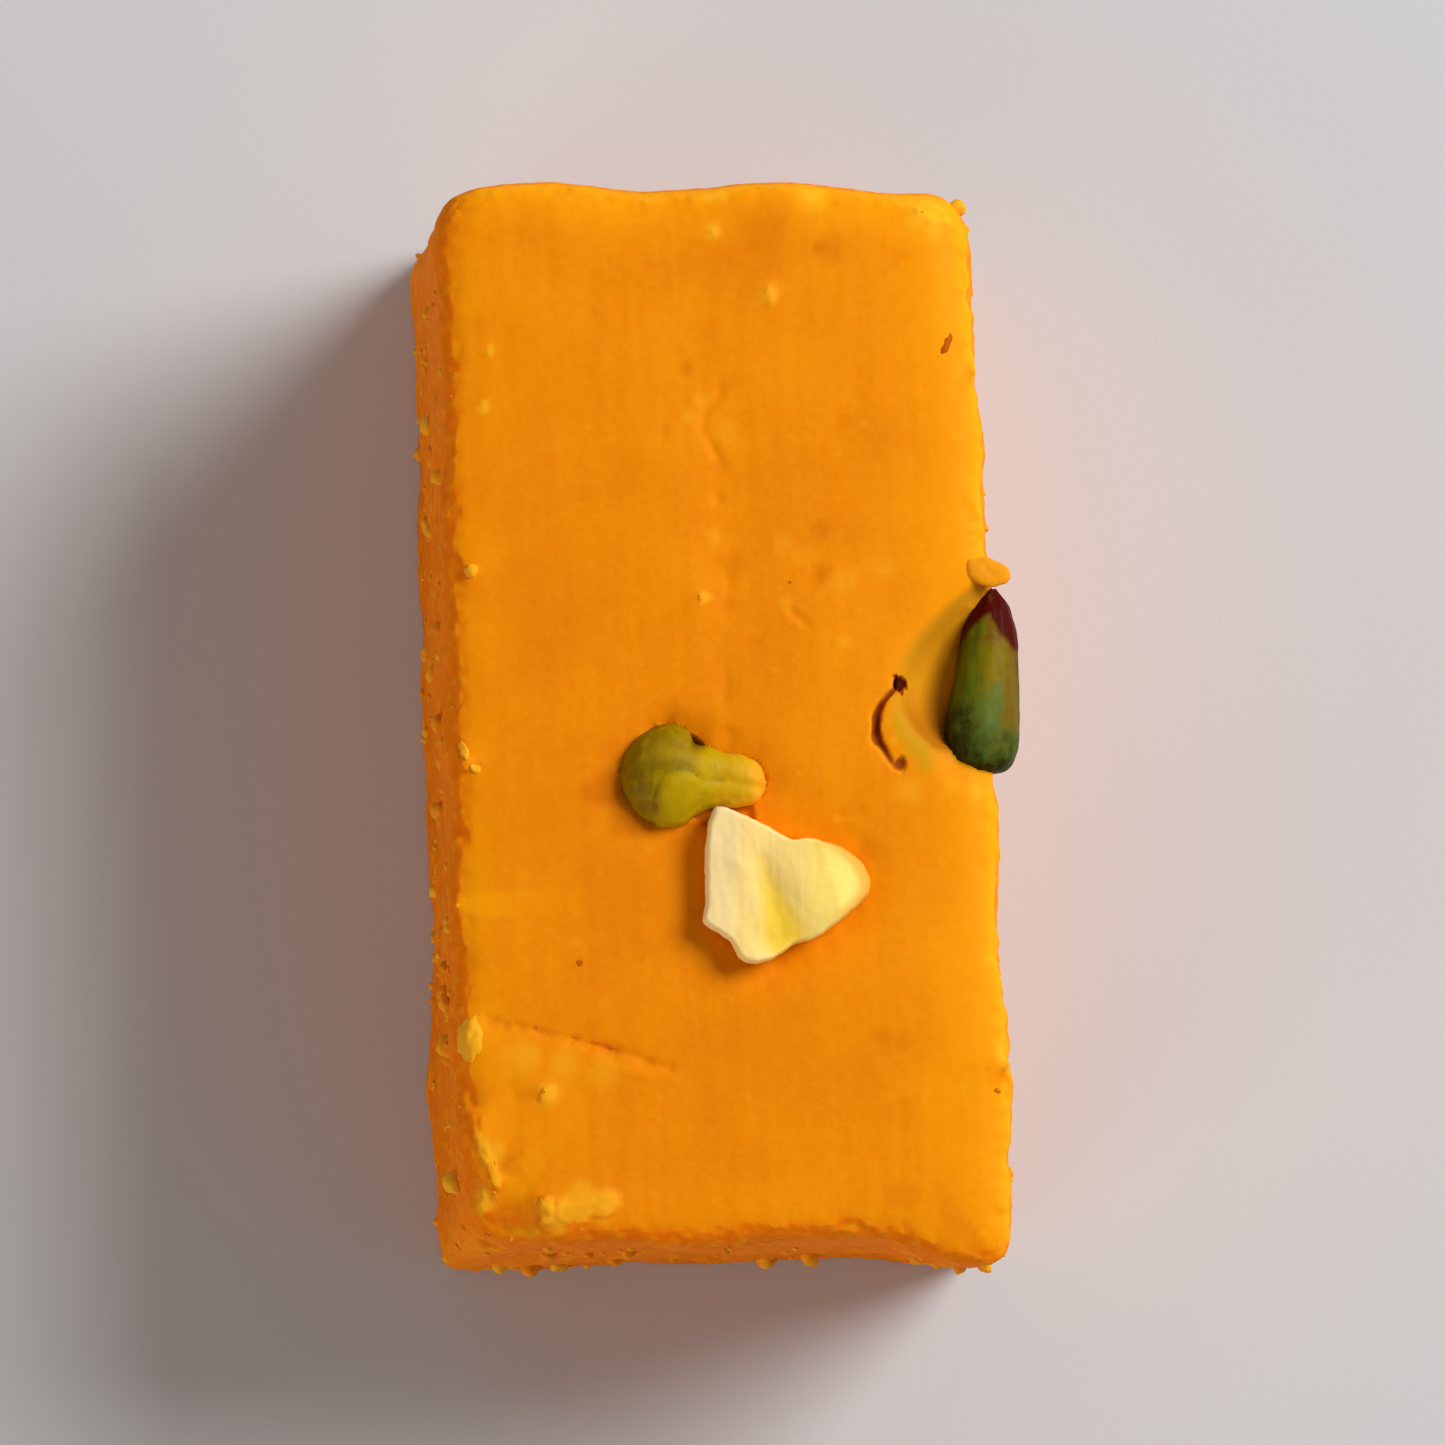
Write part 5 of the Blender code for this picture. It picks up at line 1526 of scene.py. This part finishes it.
class FUDGE_OT_add_crumbs(bpy.types.Operator):
    """Adds the fine pale crumbs and the larger torn crumbs of the cut faces and rims"""

    bl_idname = "fudge.add_crumbs"
    bl_label = "Crumbs"

    def execute(self, context):
        settings, crumbs = context.scene.fudge_block, context.scene.fudge_crumbs
        block = bpy.data.objects["fudge_block"].data
        for name, mask, density, spacing, sizes, share, step in CRUMB_KINDS:
            material = crumb_material(name, settings.pale_and_highlight_colour, settings.body_colour, share)
            values = {
                "Mask": mask,
                "Density": getattr(crumbs, density),
                "Spacing": spacing * MM,
                "Smallest": sizes[0] * MM,
                "Largest": sizes[1] * MM,
                "Seed": crumbs.seed + step,
            }
            piece = scatter(name, block, scatter_tree(f"strew_{name}", material), values)
            finish_piece(piece, "fudge")
        return {"FINISHED"}


class FUDGE_OT_add_specks(bpy.types.Operator):
    """Adds the tiny dark bits of nut skin"""

    bl_idname = "fudge.add_specks"
    bl_label = "Dark Specks"

    def execute(self, context):
        crumbs = context.scene.fudge_crumbs
        mesh = make_specks(bpy.data.objects["fudge_block"].data, random.Random(crumbs.seed + SPECK_STEP))
        finish_piece(add_object("skin_specks", mesh, speck_material(crumbs)), "pistachio_skin")
        return {"FINISHED"}


class FUDGE_OT_add_pistachios(bpy.types.Operator):
    """Adds the pistachio chip and the pistachio sliver"""

    bl_idname = "fudge.add_pistachios"
    bl_label = "Pistachios"

    def execute(self, context):
        nuts = context.scene.fudge_nuts
        chip = add_object("pistachio_round", make_round(nuts.relief), round_material(nuts))
        finish_piece(chip, "pistachio", "pistachio_chip")
        sliver = add_object("pistachio_point", make_point(nuts.relief), point_material(nuts))
        finish_piece(sliver, "pistachio_skin", "pistachio_sliver")
        return {"FINISHED"}


class FUDGE_OT_add_almond(bpy.types.Operator):
    """Adds the almond chip"""

    bl_idname = "fudge.add_almond"
    bl_label = "Almond"

    def execute(self, context):
        nuts = context.scene.fudge_nuts
        draw = random.Random(context.scene.fudge_crumbs.seed + ALMOND_STEP)
        mesh = make_almond(nuts.relief, draw)
        finish_piece(add_object("almond_piece", mesh, almond_material(nuts)), "almond", "almond_chip")
        return {"FINISHED"}


class FUDGE_OT_add_stage(bpy.types.Operator):
    """Adds the floor, the soft lights and the camera"""

    bl_idname = "fudge.add_stage"
    bl_label = "Stage"

    def execute(self, context):
        stage = context.scene.fudge_stage
        floor = add_object("floor", make_floor(stage.floor_radius), floor_material(stage))
        add_soft_light("key", stage.key_power, *KEY_LIGHT)
        add_soft_light("fill", stage.fill_power, *FILL_LIGHT)
        light_world(stage.sky_strength)
        add_camera(stage.lens)
        context.scene.view_settings.view_transform = "Standard"
        return {"FINISHED"}


class FUDGE_PT_sidebar(bpy.types.Panel):
    """Lists the steps and their settings"""

    bl_label = "Milk Fudge Finger"
    bl_idname = "FUDGE_PT_sidebar"
    bl_space_type = "VIEW_3D"
    bl_region_type = "UI"
    bl_category = "Fudge"

    def draw(self, context):
        for operator in OPERATORS:
            self.layout.operator(operator.bl_idname)
        for name, kind in SETTINGS.items():
            box = self.layout.box()
            for setting in kind.__annotations__:
                box.prop(getattr(context.scene, name), setting)


OPERATORS = (
    FUDGE_OT_add_pistachios,
    FUDGE_OT_add_almond,
    FUDGE_OT_add_block,
    FUDGE_OT_add_flakes,
    FUDGE_OT_add_crumbs,
    FUDGE_OT_add_specks,
    FUDGE_OT_add_stage,
)
SETTINGS = {
    "fudge_block": FudgeSettings,
    "fudge_nuts": NutSettings,
    "fudge_crumbs": CrumbSettings,
    "fudge_stage": StageSettings,
}


def register():
    for kind in (*SETTINGS.values(), *OPERATORS, FUDGE_PT_sidebar):
        bpy.utils.register_class(kind)
    for name, kind in SETTINGS.items():
        setattr(bpy.types.Scene, name, PointerProperty(type=kind))


def unregister():
    for name in SETTINGS:
        delattr(bpy.types.Scene, name)
    for kind in reversed((*SETTINGS.values(), *OPERATORS, FUDGE_PT_sidebar)):
        bpy.utils.unregister_class(kind)


def main():
    register()
    bpy.ops.fudge.add_pistachios()
    bpy.ops.fudge.add_almond()
    bpy.ops.fudge.add_block()
    bpy.ops.fudge.add_flakes()
    bpy.ops.fudge.add_crumbs()
    bpy.ops.fudge.add_specks()
    bpy.ops.fudge.add_stage()


if __name__ == "__main__":
    main()
